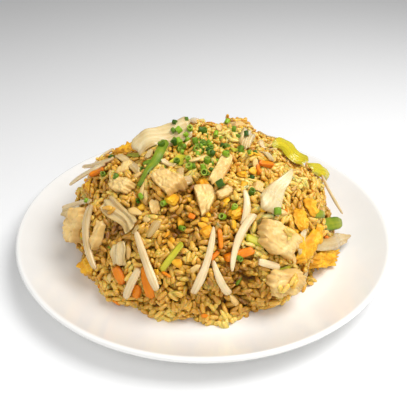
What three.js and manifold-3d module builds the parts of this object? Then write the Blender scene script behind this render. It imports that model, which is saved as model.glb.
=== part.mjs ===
// A plate of fried rice: a domed heap of stir-fried rice on a round white plate, with chicken, cabbage, egg,
// carrot, bean sprouts, leek and spring onion lying on it and standing out of it.
// Millimetres, +Z up. The origin is the centre of the plate's foot, on the table, and -Y is the front.
// A bearing is an angle round the heap, 0 at the front and 90 at the right (+X); a climb is the angle above
// the plate, 0 at the heap's foot and 90 at its crown. Both are in degrees, seen from the middle of the
// heap's underside.

import * as THREE from "three";
import { mergeVertices } from "three/addons/utils/BufferGeometryUtils.js";
import Module from "manifold-3d";

const wasm = await Module();
wasm.setup();

// The plate
const PLATE_RADIUS = 120;
const PLATE_HEIGHT = 19;
const PLATE_WALL = 4.2;
const WELL_RADIUS = 91;
const FOOT_RADIUS = 66;
const FOOT_WIDTH = 6;
const FOOT_HEIGHT = 2.6;
const WELL_TOP = FOOT_HEIGHT + PLATE_WALL;
const LIP_RADIUS = 1.7;
const RIM_STEPS = 5;
const PLATE_SIDES = 56;

// The heap: a dome, whose section is a rounded rectangle, with swellings and hollows over it
const HEAP_RADIUS = 83;
const HEAP_HEIGHT = 64;
const DOME_POWER = 2.3;
const TOUCH_GAP = 0.3;
const HEAP_FACETS = 20;
const SWELLS = 9;
const SWELL_SIZE = 0.95;
const SWELL_LENGTHS = [19, 34];
const RELIEF_WAVES = 6;
const RELIEF_SIZE = 0.62;
const RELIEF_LENGTHS = [7, 10];
const MEAN_RADIUS = 74;

// Hollows where the rice has slumped: bearing, climb, width and depth
const HOLLOWS = [
  [-9, 57, 7, 6],
  [-38, 37, 9, 4],
  [-44, 27, 7, 4.5],
  [-15, 29, 8, 4],
  [10, 28, 10, 5],
  [-14, 38, 7, 3.5],
  [6, 41, 9, 4.5],
  [62, 33, 9, 3],
  [15, 15, 9, 4],
  [29, 25, 6, 3.5],
  [150, 34, 12, 4],
  [-150, 40, 11, 4],
  [175, 18, 12, 4],
  [9, 1, 11, 3.5],
  [-137, 50, 15, 6.5],
  [101, 12, 14, 5],
  [58, 1, 15, 7],
  [-66, 5, 11, 4],
];

// One grain of rice, and how many whole grains stand on the heap
const GRAIN = [6.4, 2.9, 2.7];
const GRAINS = 46;
const GRAIN_TIP = 0.7;

// Rings of spring onion: a sprinkle on the crown and strays over the front
const RING_WALL = 0.9;
const RING_SIDES = 6;
const CROWN = [170, 87];
const CROWN_REACH = 23;
const CROWN_RINGS = 32;
const STRAY_RINGS = [
  [-62, 56], [-60, 50], [-65, 46], [-43, 46], [-36, 46], [-25, 47], [-12, 38], [-47, 20], [-105, 38],
  [-80, 40], [-74, 28], [15, 26], [37, 39], [11, 43], [19, 46], [32, 50], [13, 57], [47, 57], [36, 66],
  [64, 66], [76, 64], [-56, 3], [128, 44], [165, 38], [-160, 30], [-130, 52],
];

// What lies on the heap. Each piece runs from one bearing and climb to another, and bows aside between them.
// The lift is how far its two ends stand off the heap, and the lean how much further one side does than the
// other.
const UNDER_GAP = 1.1;
const CHICKEN = [
  { from: [-43, 58], to: [-19, 55], width: 11, thick: 6, taper: 0.3, ragged: 0.04 },
  { from: [-3, 59], to: [0, 44], width: 9, thick: 5, bow: 2, taper: -0.3 },
  { from: [-70, 25], to: [-72, 9], width: 10, thick: 6, ragged: 0.05, lean: -4 },
  { from: [27, 35], to: [40, 23], width: 15, thick: 7, ragged: 0.05, lift: [0.8, 0.8] },
  { from: [25, 15], to: [39, 11], width: 13, thick: 6, ragged: 0.06, lift: [1, 1] },
  { from: [56, 75], to: [9, 59], width: 7.5, thick: 4, lift: [0.8, 0.8] },
  { from: [-66, 43], to: [-53, 47], width: 9, thick: 5, ragged: 0.06 },
  { from: [-53, 29], to: [-52, 17], width: 5.5, thick: 4.5 },
  { from: [150, 42], to: [166, 28], width: 17, thick: 7 },
  { from: [-138, 22], to: [-124, 12], width: 16, thick: 7 },
];
const EGG = [
  { from: [56, 33], to: [50, 27], width: 8, thick: 3.5, ragged: 0.15 },
  { from: [59, 20], to: [42, 17], width: 8, thick: 4, ragged: 0.15 },
  { from: [54, 9], to: [69, 3], width: 9, thick: 5, ragged: 0.15, lift: [0.5, 6] },
  { from: [16, 43], to: [23, 44], width: 4.5, thick: 2.5, ragged: 0.1 },
  { from: [-57, 5], to: [-52, 11], width: 8, thick: 4.5, ragged: 0.1 },
  { from: [-112, 40], to: [-110, 49], width: 8, thick: 4, ragged: 0.15 },
  { from: [-160, 46], to: [-147, 50], width: 10, thick: 5, ragged: 0.15 },
];
const CABBAGE = [
  { from: [-92, 56], to: [-146, 77], width: 13, thick: 1.8, lift: [0.5, 0.5], lean: 6 },
  { from: [76, 46], to: [32, 41], width: 9.5, thick: 1.4, taper: 0.75, lift: [2, 2.5] },
  { from: [-59, 36], to: [-36, 33], width: 9, thick: 1.3, fold: 0.6 },
  { from: [-39, 26], to: [-35, 18.5], width: 9, thick: 1.3, fold: 0.5 },
  { from: [-96, 46], to: [-60, 54], width: 4, thick: 1.5, bow: 1 },
  { from: [106, 67], to: [134, 55], width: 8, thick: 1.5, fold: 0.8 },
  { from: [56, 16], to: [81, 4], width: 8, thick: 1.6, lift: [1, 9], pointed: 0.3 },
  { from: [-84, 20], to: [-92, 8], width: 7, thick: 1.4, lift: [2, 9] },
  { from: [124, 26], to: [144, 36], width: 14, thick: 1.4, fold: 0.6 },
  { from: [-172, 20], to: [-160, 36], width: 14, thick: 1.4, fold: 1.4 },
];
const LEEK = [
  { from: [103, 54], to: [96, 38], width: 10, thick: 1.8, bow: 5, arch: 1, lift: [1, 2], lean: 4 },
  { from: [91, 37], to: [97, 25.5], width: 8, thick: 1.8, arch: 0.8, lift: [1, 5], lean: 3 },
];
const ONION_GREEN = [
  { from: [-98, 71], to: [-49, 49], width: 4, thick: 0.9, bow: 3, arch: 0.6, lift: [3.5, 1] },
  { from: [69, 18], to: [90, 5.5], width: 7.5, thick: 1.1, lift: [1, 8], pointed: 0.75 },
  { from: [-17, 21], to: [-10, 32], width: 3, thick: 0.8 },
  { from: [-97, 50], to: [-90, 57], width: 3.2, thick: 0.8 },
  { from: [-52, 68], to: [-50, 77], width: 5, thick: 0.9, taper: 0.4 },
  { from: [-142, 40], to: [-122, 30], width: 4, thick: 0.9, arch: 0.6 },
];
const CARROT = [
  { from: [-94, 34], to: [-86, 38], width: 3.4, thick: 2.2, bow: 2, lift: [1, 0] },
  { from: [-98, 22], to: [-86, 31], width: 3.2, thick: 2.2 },
  { from: [62, 60], to: [71, 54], width: 3, thick: 2 },
  { from: [-37, 17], to: [-32, 12], width: 5.5, thick: 2.2 },
  { from: [-24, 22], to: [-20, 9], width: 6.5, thick: 2.2 },
  { from: [8, 38], to: [8, 30], width: 2.6, thick: 2 },
  { from: [9, 26], to: [22, 28], width: 4.4, thick: 2.2 },
  { from: [172, 44], to: [-176, 34], width: 4.4, thick: 2.2 },
];
const SPROUT = [
  { from: [5, 39], to: [-4, 14], thick: 3.6, bow: 2 },
  { from: [4, 26], to: [10, 12], thick: 3.6, bow: -1 },
  { from: [-31, 33], to: [-16, 16], thick: 3.8, bow: -2, lift: [0, 4] },
  { from: [28, 52], to: [21, 38], thick: 3.4, bow: 1 },
  { from: [27, 41], to: [11, 22], thick: 3.6, bow: -3, lift: [2, 3] },
  { from: [-26, 20], to: [-30, 7], thick: 4.2 },
  { from: [22, 24], to: [31, 19], thick: 3.8 },
  { from: [-86, 47], to: [-99, 29], thick: 3.2, lift: [0, 6], bow: 2 },
  { from: [-84, 43], to: [-93, 22], thick: 3.2, lift: [0, 10] },
  { from: [-68, 31], to: [-86, 15], thick: 2.6, lift: [2, 10], bow: -2 },
  { from: [90, 31], to: [89, 10], thick: 2.6, lift: [2, 8], bow: 2 },
  { from: [-59, 33], to: [-46, 12], thick: 4.6, bow: -7 },
  { from: [-172, 58], to: [-178, 40], thick: 3.6, bow: 3 },
  { from: [128, 22], to: [148, 12], thick: 3.6, bow: -2 },
  { from: [-118, 34], to: [-108, 12], thick: 3.6, bow: 2 },
];

// ---------- Shape of the heap ----------

const degrees = THREE.MathUtils.degToRad;

// The same draw between 0 and 1 for the same number.
function chance(number) {
  const spread = Math.sin(12.9898 * number + 78.233) * 43758.5453;
  return spread - Math.floor(spread);
}

// The unit direction of a bearing and climb.
function wayTo([bearing, climb]) {
  const round = degrees(bearing);
  const up = degrees(climb);
  return new THREE.Vector3(
    Math.cos(up) * Math.sin(round),
    -Math.cos(up) * Math.cos(round),
    Math.sin(up),
  );
}

// The n directions of a golden spiral over a sphere.
function spiralWay(index, count) {
  const z = 1 - (2 * index + 1) / count;
  const round = index * Math.PI * (3 - Math.sqrt(5));
  const out = Math.sqrt(1 - z * z);
  return new THREE.Vector3(out * Math.cos(round), out * Math.sin(round), z);
}

// Waves that cross each other in every direction: a sum of sines of even size.
function wavesOf(count, size, [shortest, longest]) {
  const waves = Array.from({ length: count }, (_, index) => {
    const length = shortest + ((longest - shortest) * index) / (count - 1);
    const along = spiralWay(index, count).multiplyScalar((2 * Math.PI * MEAN_RADIUS) / length);
    return { along, phase: 2.4 * index * index };
  });
  return (way) => size * waves.reduce((sum, w) => sum + Math.sin(w.along.dot(way) + w.phase), 0);
}

const swell = wavesOf(SWELLS, SWELL_SIZE, SWELL_LENGTHS);
const relief = wavesOf(RELIEF_WAVES, RELIEF_SIZE, RELIEF_LENGTHS);
const hollows = HOLLOWS.map(([bearing, climb, width, depth]) => ({
  way: wayTo([bearing, climb]),
  width,
  depth,
}));

// How far the dome's surface is from the middle of its underside.
function domeRadius(way) {
  const out = Math.hypot(way.x, way.y) / HEAP_RADIUS;
  const up = Math.abs(way.z) / HEAP_HEIGHT;
  return (out ** DOME_POWER + up ** DOME_POWER) ** (-1 / DOME_POWER);
}

// How far the heap's swellings and hollows stand off the dome.
function lumps(way) {
  const sunk = hollows.reduce((sum, h) => {
    const away = h.way.angleTo(way) * MEAN_RADIUS;
    return sum + h.depth * Math.exp(-((away / h.width) ** 2));
  }, 0);
  return swell(way) - sunk;
}

// The point at a height above the dome, in a direction.
function pointAt(way, height) {
  const reach = domeRadius(way) + height;
  return new THREE.Vector3(way.x * reach, way.y * reach, WELL_TOP + way.z * reach);
}

// ---------- Working with solids ----------

// A geometry with each vertex moved by a function, and its shared vertices merged.
function moved(geometry, place) {
  const points = geometry.getAttribute("position");
  const point = new THREE.Vector3();
  for (let index = 0; index < points.count; index += 1) {
    point.fromBufferAttribute(points, index);
    const { x, y, z } = place(point);
    points.setXYZ(index, x, y, z);
  }
  geometry.deleteAttribute("normal");
  geometry.deleteAttribute("uv");
  return mergeVertices(geometry, 1e-3);
}

function solidOf(geometry) {
  return new wasm.Manifold(
    new wasm.Mesh({
      numProp: 3,
      vertProperties: geometry.getAttribute("position").array,
      triVerts: new Uint32Array(geometry.index.array),
    }),
  );
}

function geometryOf(solid) {
  const { vertProperties, triVerts } = solid.getMesh();
  return new THREE.BufferGeometry()
    .setAttribute("position", new THREE.BufferAttribute(vertProperties, 3))
    .setIndex(new THREE.BufferAttribute(triVerts, 1));
}

function largestOf(solid) {
  return solid.decompose().reduce((best, next) => (next.volume() > best.volume() ? next : best));
}

// ---------- The plate ----------

// Half the plate's section: out along the underside, round the lip and back over the top.
function plateGeometry() {
  const under = WELL_TOP - PLATE_WALL;
  const rimStart = WELL_RADIUS;
  const rimEnd = PLATE_RADIUS - LIP_RADIUS;
  const rimTop = (share) => WELL_TOP + (PLATE_HEIGHT - LIP_RADIUS * 0.6 - WELL_TOP) * share ** 1.5;
  const profile = [
    [0, under],
    [FOOT_RADIUS - FOOT_WIDTH / 2, under],
    [FOOT_RADIUS - FOOT_WIDTH / 2, 0],
    [FOOT_RADIUS + FOOT_WIDTH / 2, 0],
    [FOOT_RADIUS + FOOT_WIDTH / 2 + 1, under],
  ];
  for (let step = 0; step <= RIM_STEPS; step += 2) {
    const share = step / RIM_STEPS;
    const wall = THREE.MathUtils.lerp(PLATE_WALL, 2 * LIP_RADIUS, share);
    profile.push([THREE.MathUtils.lerp(rimStart, rimEnd, share), rimTop(share) - wall]);
  }
  profile.push([PLATE_RADIUS, PLATE_HEIGHT - LIP_RADIUS * 1.4]);
  profile.push([PLATE_RADIUS - LIP_RADIUS * 0.4, PLATE_HEIGHT]);
  for (let step = RIM_STEPS; step >= 0; step -= 1) {
    const share = step / RIM_STEPS;
    profile.push([THREE.MathUtils.lerp(rimStart, rimEnd - LIP_RADIUS, share), rimTop(share)]);
  }
  profile.push([0, WELL_TOP]);
  const outline = profile.map(([radius, height]) => new THREE.Vector2(radius, height));
  return new THREE.LatheGeometry(outline, PLATE_SIDES).rotateX(Math.PI / 2);
}

// ---------- Pieces that lie on the heap ----------

// The direction at a share of a piece's length (-1 to 1) and a distance aside of its middle line. The line
// goes straight from one end to the other over the heap, and bows aside in between.
function trackOf({ from, to, bow = 0 }) {
  const start = wayTo(from);
  const end = wayTo(to);
  const aside = start.clone().cross(end).normalize();
  const turn = start.angleTo(end);
  return (share, across) => {
    const past = ((share + 1) / 2) * turn;
    const way = start.clone().multiplyScalar(Math.sin(turn - past) / Math.sin(turn));
    way.addScaledVector(end, Math.sin(past) / Math.sin(turn));
    const shift = bow * (1 - share * share) + across;
    return way.addScaledVector(aside, shift / domeRadius(way)).normalize();
  };
}

// How far a piece stands off at a share of its length, from the lift of its two ends.
function liftAt([first, last], share) {
  return first * ((1 - share) / 2) ** 2 + last * ((1 + share) / 2) ** 2;
}

// A slab with round corners, thinner at its edge. Its underside takes the heap's shape. A stiff slab's top
// is even, and a soft one's lies parallel to its underside, with folds across it.
function slabGeometry(piece, { stiff, steps }) {
  const { width, thick, taper = 0, lift = [0, 0], lean = 0 } = piece;
  const { ragged = 0, fold = 0, arch = 0, pointed = 0 } = piece;
  const track = trackOf(piece);
  const corners = stiff ? 0.6 : 0.35;
  const tries = [-0.8, 0, 0.8];
  const beds = tries.flatMap((s) => tries.map((t) => lumps(track(s, (t * width) / 2))));
  const bed = beds.reduce((sum, b) => sum + b, 0) / beds.length;
  return moved(new THREE.BoxGeometry(2, 2, 2, ...steps, 1), ({ x, y, z }) => {
    const tear = 1 + ragged * Math.sin(7 * x + 11 * y + 5 * width);
    const share = x * Math.sqrt(1 - (corners * y * y) / 2) * tear;
    const half = (width / 2) * (1 + taper * x) * (1 - pointed * x ** 4) * tear;
    const across = y * Math.sqrt(1 - (corners * x * x) / 2) * half;
    const way = track(share, across);
    const edge = Math.max(x ** 4, y ** 4);
    const leaning = (Math.abs(lean) + lean * y) / 2;
    const raised = liftAt(lift, share) + leaning + fold * (1 + Math.cos(7 * y)) + arch * (1 - y * y);
    const low = lumps(way) + UNDER_GAP + raised;
    const full = stiff ? Math.max(bed + UNDER_GAP + raised + thick, low + 1) : low + thick;
    return pointAt(way, z < 0 ? low : THREE.MathUtils.lerp(full, low + (full - low) * 0.55, edge));
  });
}

// A round strand, such as a bean sprout. It is stiff: one even curve, a parabola fitted to the lumps on its
// way and raised until it clears them all.
function strandGeometry(piece, { sides, steps }) {
  const { thick, lift = [0, 0] } = piece;
  const track = trackOf(piece);
  const shares = Array.from({ length: 9 }, (_, index) => index / 4 - 1);
  const heights = shares.map((s) => lumps(track(s, 0)));
  const total = (power, values) => shares.reduce((sum, s, i) => sum + s ** power * values[i], 0);
  const ones = shares.map(() => 1);
  const [count, second, fourth] = [0, 2, 4].map((power) => total(power, ones));
  const slope = total(1, heights) / second;
  const curve = (count * total(2, heights) - second * total(0, heights)) / (count * fourth - second ** 2);
  const level = (total(0, heights) - curve * second) / count;
  const even = (s) => level + slope * s + curve * s * s;
  const clear = Math.max(...shares.map((s, index) => heights[index] - even(s)));
  const cylinder = new THREE.CylinderGeometry(1, 1, 2, sides, steps);
  return moved(cylinder, ({ x, y, z }) => {
    const radius = (thick / 2) * (1 - 0.45 * y ** 8);
    const middle = even(y) + clear + UNDER_GAP + thick / 2 + liftAt(lift, y);
    return pointAt(track(y, x * radius), middle - z * radius);
  });
}

// ---------- The heap ----------

// The heap's bare core, flat underneath, with relief the size of its grains wherever nothing lies on it.
function coreSolid(covered) {
  const ball = moved(new THREE.IcosahedronGeometry(1, HEAP_FACETS), (point) => {
    const way = point.clone().normalize();
    const grains = covered(way) ? 0 : Math.max(relief(way), -0.6) + 1;
    return pointAt(way, lumps(way) + grains);
  });
  const floor = WELL_TOP + TOUCH_GAP;
  const below = moved(new THREE.BoxGeometry(400, 400, 200).translate(0, 0, floor - 100), (p) => p);
  return solidOf(ball).subtract(solidOf(below));
}

// A geometry set on the heap: its Z points out of the heap and its X turns by a spin about that, after the
// piece itself is tipped about its Y.
function setOnHeap(geometry, way, { spin, tip, height }) {
  const place = new THREE.Matrix4().makeRotationZ(spin);
  place.multiply(new THREE.Matrix4().makeRotationY(tip));
  const out = new THREE.Quaternion().setFromUnitVectors(new THREE.Vector3(0, 0, 1), way);
  place.premultiply(new THREE.Matrix4().makeRotationFromQuaternion(out));
  place.setPosition(pointAt(way, lumps(way) + height));
  return moved(geometry.applyMatrix4(place), (p) => p);
}

function grainSolid(way, number) {
  const grain = new THREE.IcosahedronGeometry(0.5, 0).scale(...GRAIN.map((size) => size * 1.1));
  const tip = (chance(3 * number) - 0.5) * 2 * GRAIN_TIP;
  const spin = chance(3 * number + 1) * Math.PI;
  return solidOf(setOnHeap(grain, way, { spin, tip, height: 1.9 }));
}

// A short tube, cut across a spring onion.
function ringSolid(way, number) {
  const radius = 2.2 + 0.9 * chance(5 * number);
  const half = 1.2 + 0.8 * chance(5 * number + 1);
  const section = [
    [radius, -half], [radius, half], [radius - RING_WALL, half], [radius - RING_WALL, -half],
    [radius, -half],
  ];
  const outline = section.map(([out, up]) => new THREE.Vector2(out, up));
  const ring = new THREE.LatheGeometry(outline, RING_SIDES).rotateX(Math.PI / 2);
  const tip = chance(5 * number + 2) * 1.3;
  const spin = chance(5 * number + 3) * 2 * Math.PI;
  return solidOf(setOnHeap(ring, way, { spin, tip, height: 2.3 }));
}

// Directions that turn out from the crown in a golden spiral, with the rings' own unevenness.
function crownWays() {
  const middle = wayTo(CROWN);
  const side = new THREE.Vector3(0, 0, 1).cross(middle).normalize();
  const up = middle.clone().cross(side);
  return Array.from({ length: CROWN_RINGS }, (_, index) => {
    const out = (CROWN_REACH * Math.sqrt((index + 0.5) / CROWN_RINGS)) / HEAP_HEIGHT;
    const round = index * 2.4 + chance(900 + index);
    return middle
      .clone()
      .addScaledVector(side, out * Math.cos(round))
      .addScaledVector(up, out * Math.sin(round))
      .normalize();
  });
}

// The heap with its rings and its whole grains, which keep clear of the pieces that lie on it.
function heapGeometry(footprints) {
  const nearest = (way, reach) => footprints.some((spot) => spot.dot(way) > Math.cos(reach / MEAN_RADIUS));
  const rings = [...crownWays(), ...STRAY_RINGS.map(wayTo)]
    .map((way, index) => ({ way, index }))
    .filter(({ way }) => !nearest(way, 5.8));
  const upper = Array.from({ length: 2 * GRAINS }, (_, index) => spiralWay(index, 2 * GRAINS));
  const grains = upper
    .map((way, index) => ({ way, index }))
    .filter(({ way }) => way.z > 0.12 && !nearest(way, 5.6));
  const core = coreSolid((way) => nearest(way, 5));
  const parts = [
    ...rings.map(({ way, index }) => ringSolid(way, index)),
    ...grains.map(({ way, index }) => grainSolid(way, index)),
  ];
  return geometryOf(largestOf(parts.reduce((whole, part) => whole.add(part), core)));
}

// ---------- The whole ----------

const finish = (color, roughness) => new THREE.MeshStandardMaterial({ color, roughness, metalness: 0 });
const KINDS = [
  { name: "chicken", pieces: CHICKEN, material: finish(0xe3c48d, 0.55), stiff: true, steps: [4, 3] },
  { name: "egg", pieces: EGG, material: finish(0xf0b428, 0.5), stiff: true, steps: [4, 3] },
  { name: "cabbage", pieces: CABBAGE, material: finish(0xe6d6a4, 0.35), steps: [5, 4] },
  { name: "leek", pieces: LEEK, material: finish(0xcfc62c, 0.3), steps: [5, 2] },
  { name: "onion_green", pieces: ONION_GREEN, material: finish(0x5e8f22, 0.4), steps: [6, 2] },
  { name: "carrot", pieces: CARROT, material: finish(0xf0821c, 0.4), stiff: true, steps: [4, 1] },
  { name: "sprout", pieces: SPROUT, material: finish(0xe9dcb8, 0.35), sides: 6, steps: 6 },
];

function pieceMeshes({ name, pieces, material, ...make }) {
  return pieces.map((piece, index) => {
    const geometry = make.sides ? strandGeometry(piece, make) : slabGeometry(piece, make);
    const mesh = new THREE.Mesh(geometry, material);
    mesh.name = `${name}_${index + 1}`;
    return mesh;
  });
}

// The directions that a piece covers, close enough together to leave no gap between them.
function footprintOf(piece) {
  const track = trackOf(piece);
  const half = (piece.width ?? piece.thick) / 2;
  const length = wayTo(piece.from).angleTo(wayTo(piece.to)) * MEAN_RADIUS;
  const along = Math.ceil(length / 3);
  const across = Math.ceil(half / 1.5);
  const ways = [];
  for (let i = 0; i <= along; i += 1) {
    for (let j = 0; j <= across; j += 1) {
      ways.push(track((2 * i) / along - 1, ((2 * j) / across - 1) * half));
    }
  }
  return ways;
}

const whole = new THREE.Group();
whole.name = "fried_rice_plate";

const plate = new THREE.Mesh(plateGeometry(), finish(0xf4f3ef, 0.2));
plate.name = "plate";
whole.add(plate);

const toppings = KINDS.flatMap(pieceMeshes);
const footprints = KINDS.flatMap(({ pieces }) => pieces.flatMap(footprintOf));
const heap = new THREE.Mesh(heapGeometry(footprints), finish(0xd0a052, 0.55));
heap.name = "rice_heap";
whole.add(heap, ...toppings);

export default whole;
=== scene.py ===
"""A plate of fried rice: thousands of loose grains heaped on a white plate, with all that was fried in them.

Shapes are worked out in millimetres and become metres when they are put into a mesh. A bearing is an angle
round the heap, 0 at the front and 90 at the right. A climb is the angle above the plate, 0 at the heap's
foot and 90 at its crown. Both are in degrees, seen from the middle of the heap's underside. A way is the
unit direction of a bearing and climb, and a height is measured along it, from the bare dome.
"""

import logging
from dataclasses import dataclass, field, fields
from enum import Enum

import bpy
import numpy as np
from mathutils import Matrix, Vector
from mathutils.bvhtree import BVHTree


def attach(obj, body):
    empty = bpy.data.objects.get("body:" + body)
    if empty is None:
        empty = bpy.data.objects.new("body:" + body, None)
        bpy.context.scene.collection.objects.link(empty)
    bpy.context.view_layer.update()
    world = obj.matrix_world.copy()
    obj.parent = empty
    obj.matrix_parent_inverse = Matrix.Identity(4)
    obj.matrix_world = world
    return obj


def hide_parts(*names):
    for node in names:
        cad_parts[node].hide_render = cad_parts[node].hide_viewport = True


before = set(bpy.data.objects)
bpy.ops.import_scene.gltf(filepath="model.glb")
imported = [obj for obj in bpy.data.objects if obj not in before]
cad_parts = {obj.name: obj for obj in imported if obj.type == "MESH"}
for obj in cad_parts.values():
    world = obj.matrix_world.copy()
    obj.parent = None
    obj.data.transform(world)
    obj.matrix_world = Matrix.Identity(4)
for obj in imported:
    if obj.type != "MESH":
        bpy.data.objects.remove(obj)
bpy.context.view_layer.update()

log = logging.getLogger("fried_rice")

Array = np.ndarray
Pair = tuple[float, float]

MM = 0.001
BODY = "root"
WELL_TOP = 6.8  # height of the plate's well, which the heap stands on
UNDER_GAP = 1.1  # from the heap's lumps to the underside of what lies on them
UP = np.array([0.0, 0.0, 1.0])


# ---------- Numbers and directions ----------


def chance(number: Array | float) -> Array | float:
    """The same draw between 0 and 1 for the same number: the fraction of a large sine."""
    spread = np.sin(12.9898 * number + 78.233) * 43758.5453
    return spread - np.floor(spread)


def unit(vectors: Array) -> Array:
    """Each vector divided by its own length."""
    return vectors / np.linalg.norm(vectors, axis=-1, keepdims=True)


def way_to(bearing: Array | float, climb: Array | float) -> Array:
    """The way of a bearing and climb: (cos c sin b, -cos c cos b, sin c)."""
    b, c = np.radians(bearing), np.radians(climb)
    return np.stack(np.broadcast_arrays(np.cos(c) * np.sin(b), -np.cos(c) * np.cos(b), np.sin(c)), axis=-1)


def spiral_ways(count: int) -> Array:
    """Ways of a golden spiral over a whole sphere, from its top down."""
    index = np.arange(count)
    z = 1 - (2 * index + 1) / count
    turn = index * np.pi * (3 - np.sqrt(5))
    out = np.sqrt(1 - z * z)
    return np.stack([out * np.cos(turn), out * np.sin(turn), z], axis=-1)


def ripples(points: Array, length: float, seed: int, waves: int = 7) -> Array:
    """Uneven waves in every direction, about -1 to 1: a sum of sines of nearly one length, scaled to suit."""
    lengths = length * (0.75 + 0.5 * chance(seed + np.arange(waves)))
    along = spiral_ways(waves) * (2 * np.pi / lengths)[:, None]
    phase = 40 * chance(7.3 * seed + np.arange(waves))
    return np.sin(points @ along.T + phase).sum(axis=-1) / np.sqrt(waves)


# ---------- The heap's form ----------


@dataclass(frozen=True)
class HeapForm:
    """A dome whose section is a rounded rectangle, with swellings, hollows and clods of stuck rice.

    power is how square the section is, and mean_radius turns angles into millimetres. Each hollow is a
    bearing, a climb, a width and a depth. The clods are cells round the points of a spiral: clod_stray
    moves these points, clod_warp bends the cells' edges, clod_size is how high the clods stand, clod_sink
    the share of it that lies under the lumps, clod_spread how uneven their heights are, and furrow how wide
    the gaps between them are.
    """

    radius: float = 83.0
    height: float = 64.0
    power: float = 2.3
    mean_radius: float = 74.0
    swells: int = 9
    swell_size: float = 0.95
    swell_lengths: Pair = (19.0, 34.0)
    clod_count: int = 560
    clod_size: float = 3.3
    clod_sink: float = 0.7
    clod_spread: float = 2.6
    clod_stray: float = 0.09
    clod_warp: float = 1.3
    furrow: float = 3.0
    hollows: tuple[tuple[float, float, float, float], ...] = (
        (-9, 57, 7, 6), (-38, 37, 9, 4), (-44, 27, 7, 4.5), (-15, 29, 8, 4), (10, 28, 10, 5),
        (-14, 38, 7, 3.5), (6, 41, 9, 4.5), (62, 33, 9, 3), (15, 15, 9, 4), (29, 25, 6, 3.5),
        (150, 34, 12, 4), (-150, 40, 11, 4), (175, 18, 12, 4), (9, 1, 11, 3.5), (-137, 50, 15, 6.5),
        (101, 12, 14, 5), (58, 1, 15, 7), (-66, 5, 11, 4),
    )

    def dome(self, ways: Array) -> Array:
        """Distance to the bare dome: (out^p + up^p)^(-1/p), each over its own radius."""
        out = np.hypot(ways[..., 0], ways[..., 1]) / self.radius
        up = np.abs(ways[..., 2]) / self.height
        return (out**self.power + up**self.power) ** (-1 / self.power)

    def swellings(self, ways: Array) -> Array:
        """Waves of even size, each along a way of a golden spiral, from short ones to long ones."""
        index = np.arange(self.swells)
        short, long = self.swell_lengths
        length = short + (long - short) * index / (self.swells - 1)
        along = spiral_ways(self.swells) * (2 * np.pi * self.mean_radius / length)[:, None]
        return self.swell_size * np.sin(ways @ along.T + 2.4 * index * index).sum(axis=-1)

    def lumps(self, ways: Array) -> Array:
        """Swellings less hollows, each hollow a bell curve of its width and depth."""
        height = self.swellings(ways)
        for bearing, climb, width, depth in self.hollows:
            away = np.arccos(np.clip(ways @ way_to(bearing, climb), -1, 1)) * self.mean_radius
            height = height - depth * np.exp(-((away / width) ** 2))
        return height

    def clods(self, ways: Array) -> tuple[Array, Array]:
        """Which clod each way is in, and how far it is from that clod's edge, in millimetres."""
        places = ways.reshape(-1, 3) * self.mean_radius
        warp = np.stack([ripples(places, 9.0, 70 + axis) for axis in range(3)], axis=-1)
        warped = unit(places + self.clod_warp * warp)
        index = np.arange(self.clod_count)
        shift = np.stack([chance(7 * index + axis) - 0.5 for axis in range(3)], axis=-1)
        centres = unit(spiral_ways(self.clod_count) + self.clod_stray * shift)
        number = np.empty(len(warped), dtype=int)
        edge = np.empty(len(warped))
        lot = 6000
        for start in range(0, len(warped), lot):
            near = warped[start : start + lot] @ centres.T
            rows = np.arange(len(near))
            best = near.argmax(axis=1)
            first = np.arccos(np.clip(near[rows, best], -1, 1))
            near[rows, best] = -1
            second = np.arccos(near.max(axis=1))
            number[start : start + lot] = best
            edge[start : start + lot] = (second - first) * self.mean_radius
        return number.reshape(ways.shape[:-1]), edge.reshape(ways.shape[:-1])

    def clumped(self, ways: Array) -> Array:
        """Height of the rice: the lumps, with rounded clods of uneven height and furrows between them."""
        number, edge = self.clods(ways)
        swell = 1 - np.exp(-edge / self.furrow)
        uneven = self.clod_spread * (chance(3 * number) - 0.5) * swell
        return self.lumps(ways) + self.clod_size * (swell - self.clod_sink) + uneven

    def point(self, ways: Array, height: Array | float) -> Array:
        """The point at a height above the bare dome."""
        return ways * (self.dome(ways) + height)[..., None] + WELL_TOP * UP

    def normal(self, ways: Array) -> Array:
        """Outward normal of the clumped rice, from the cross product of two short steps over it."""
        side = unit(np.cross(np.broadcast_to(UP, ways.shape) + 1e-6, ways))
        rise = np.cross(ways, side)
        step = 0.016
        here = self.point(ways, self.clumped(ways))
        over = unit(ways + step * side)
        up = unit(ways + step * rise)
        over_step = self.point(over, self.clumped(over)) - here
        up_step = self.point(up, self.clumped(up)) - here
        return unit(np.cross(over_step, up_step))


FORM = HeapForm()


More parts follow.
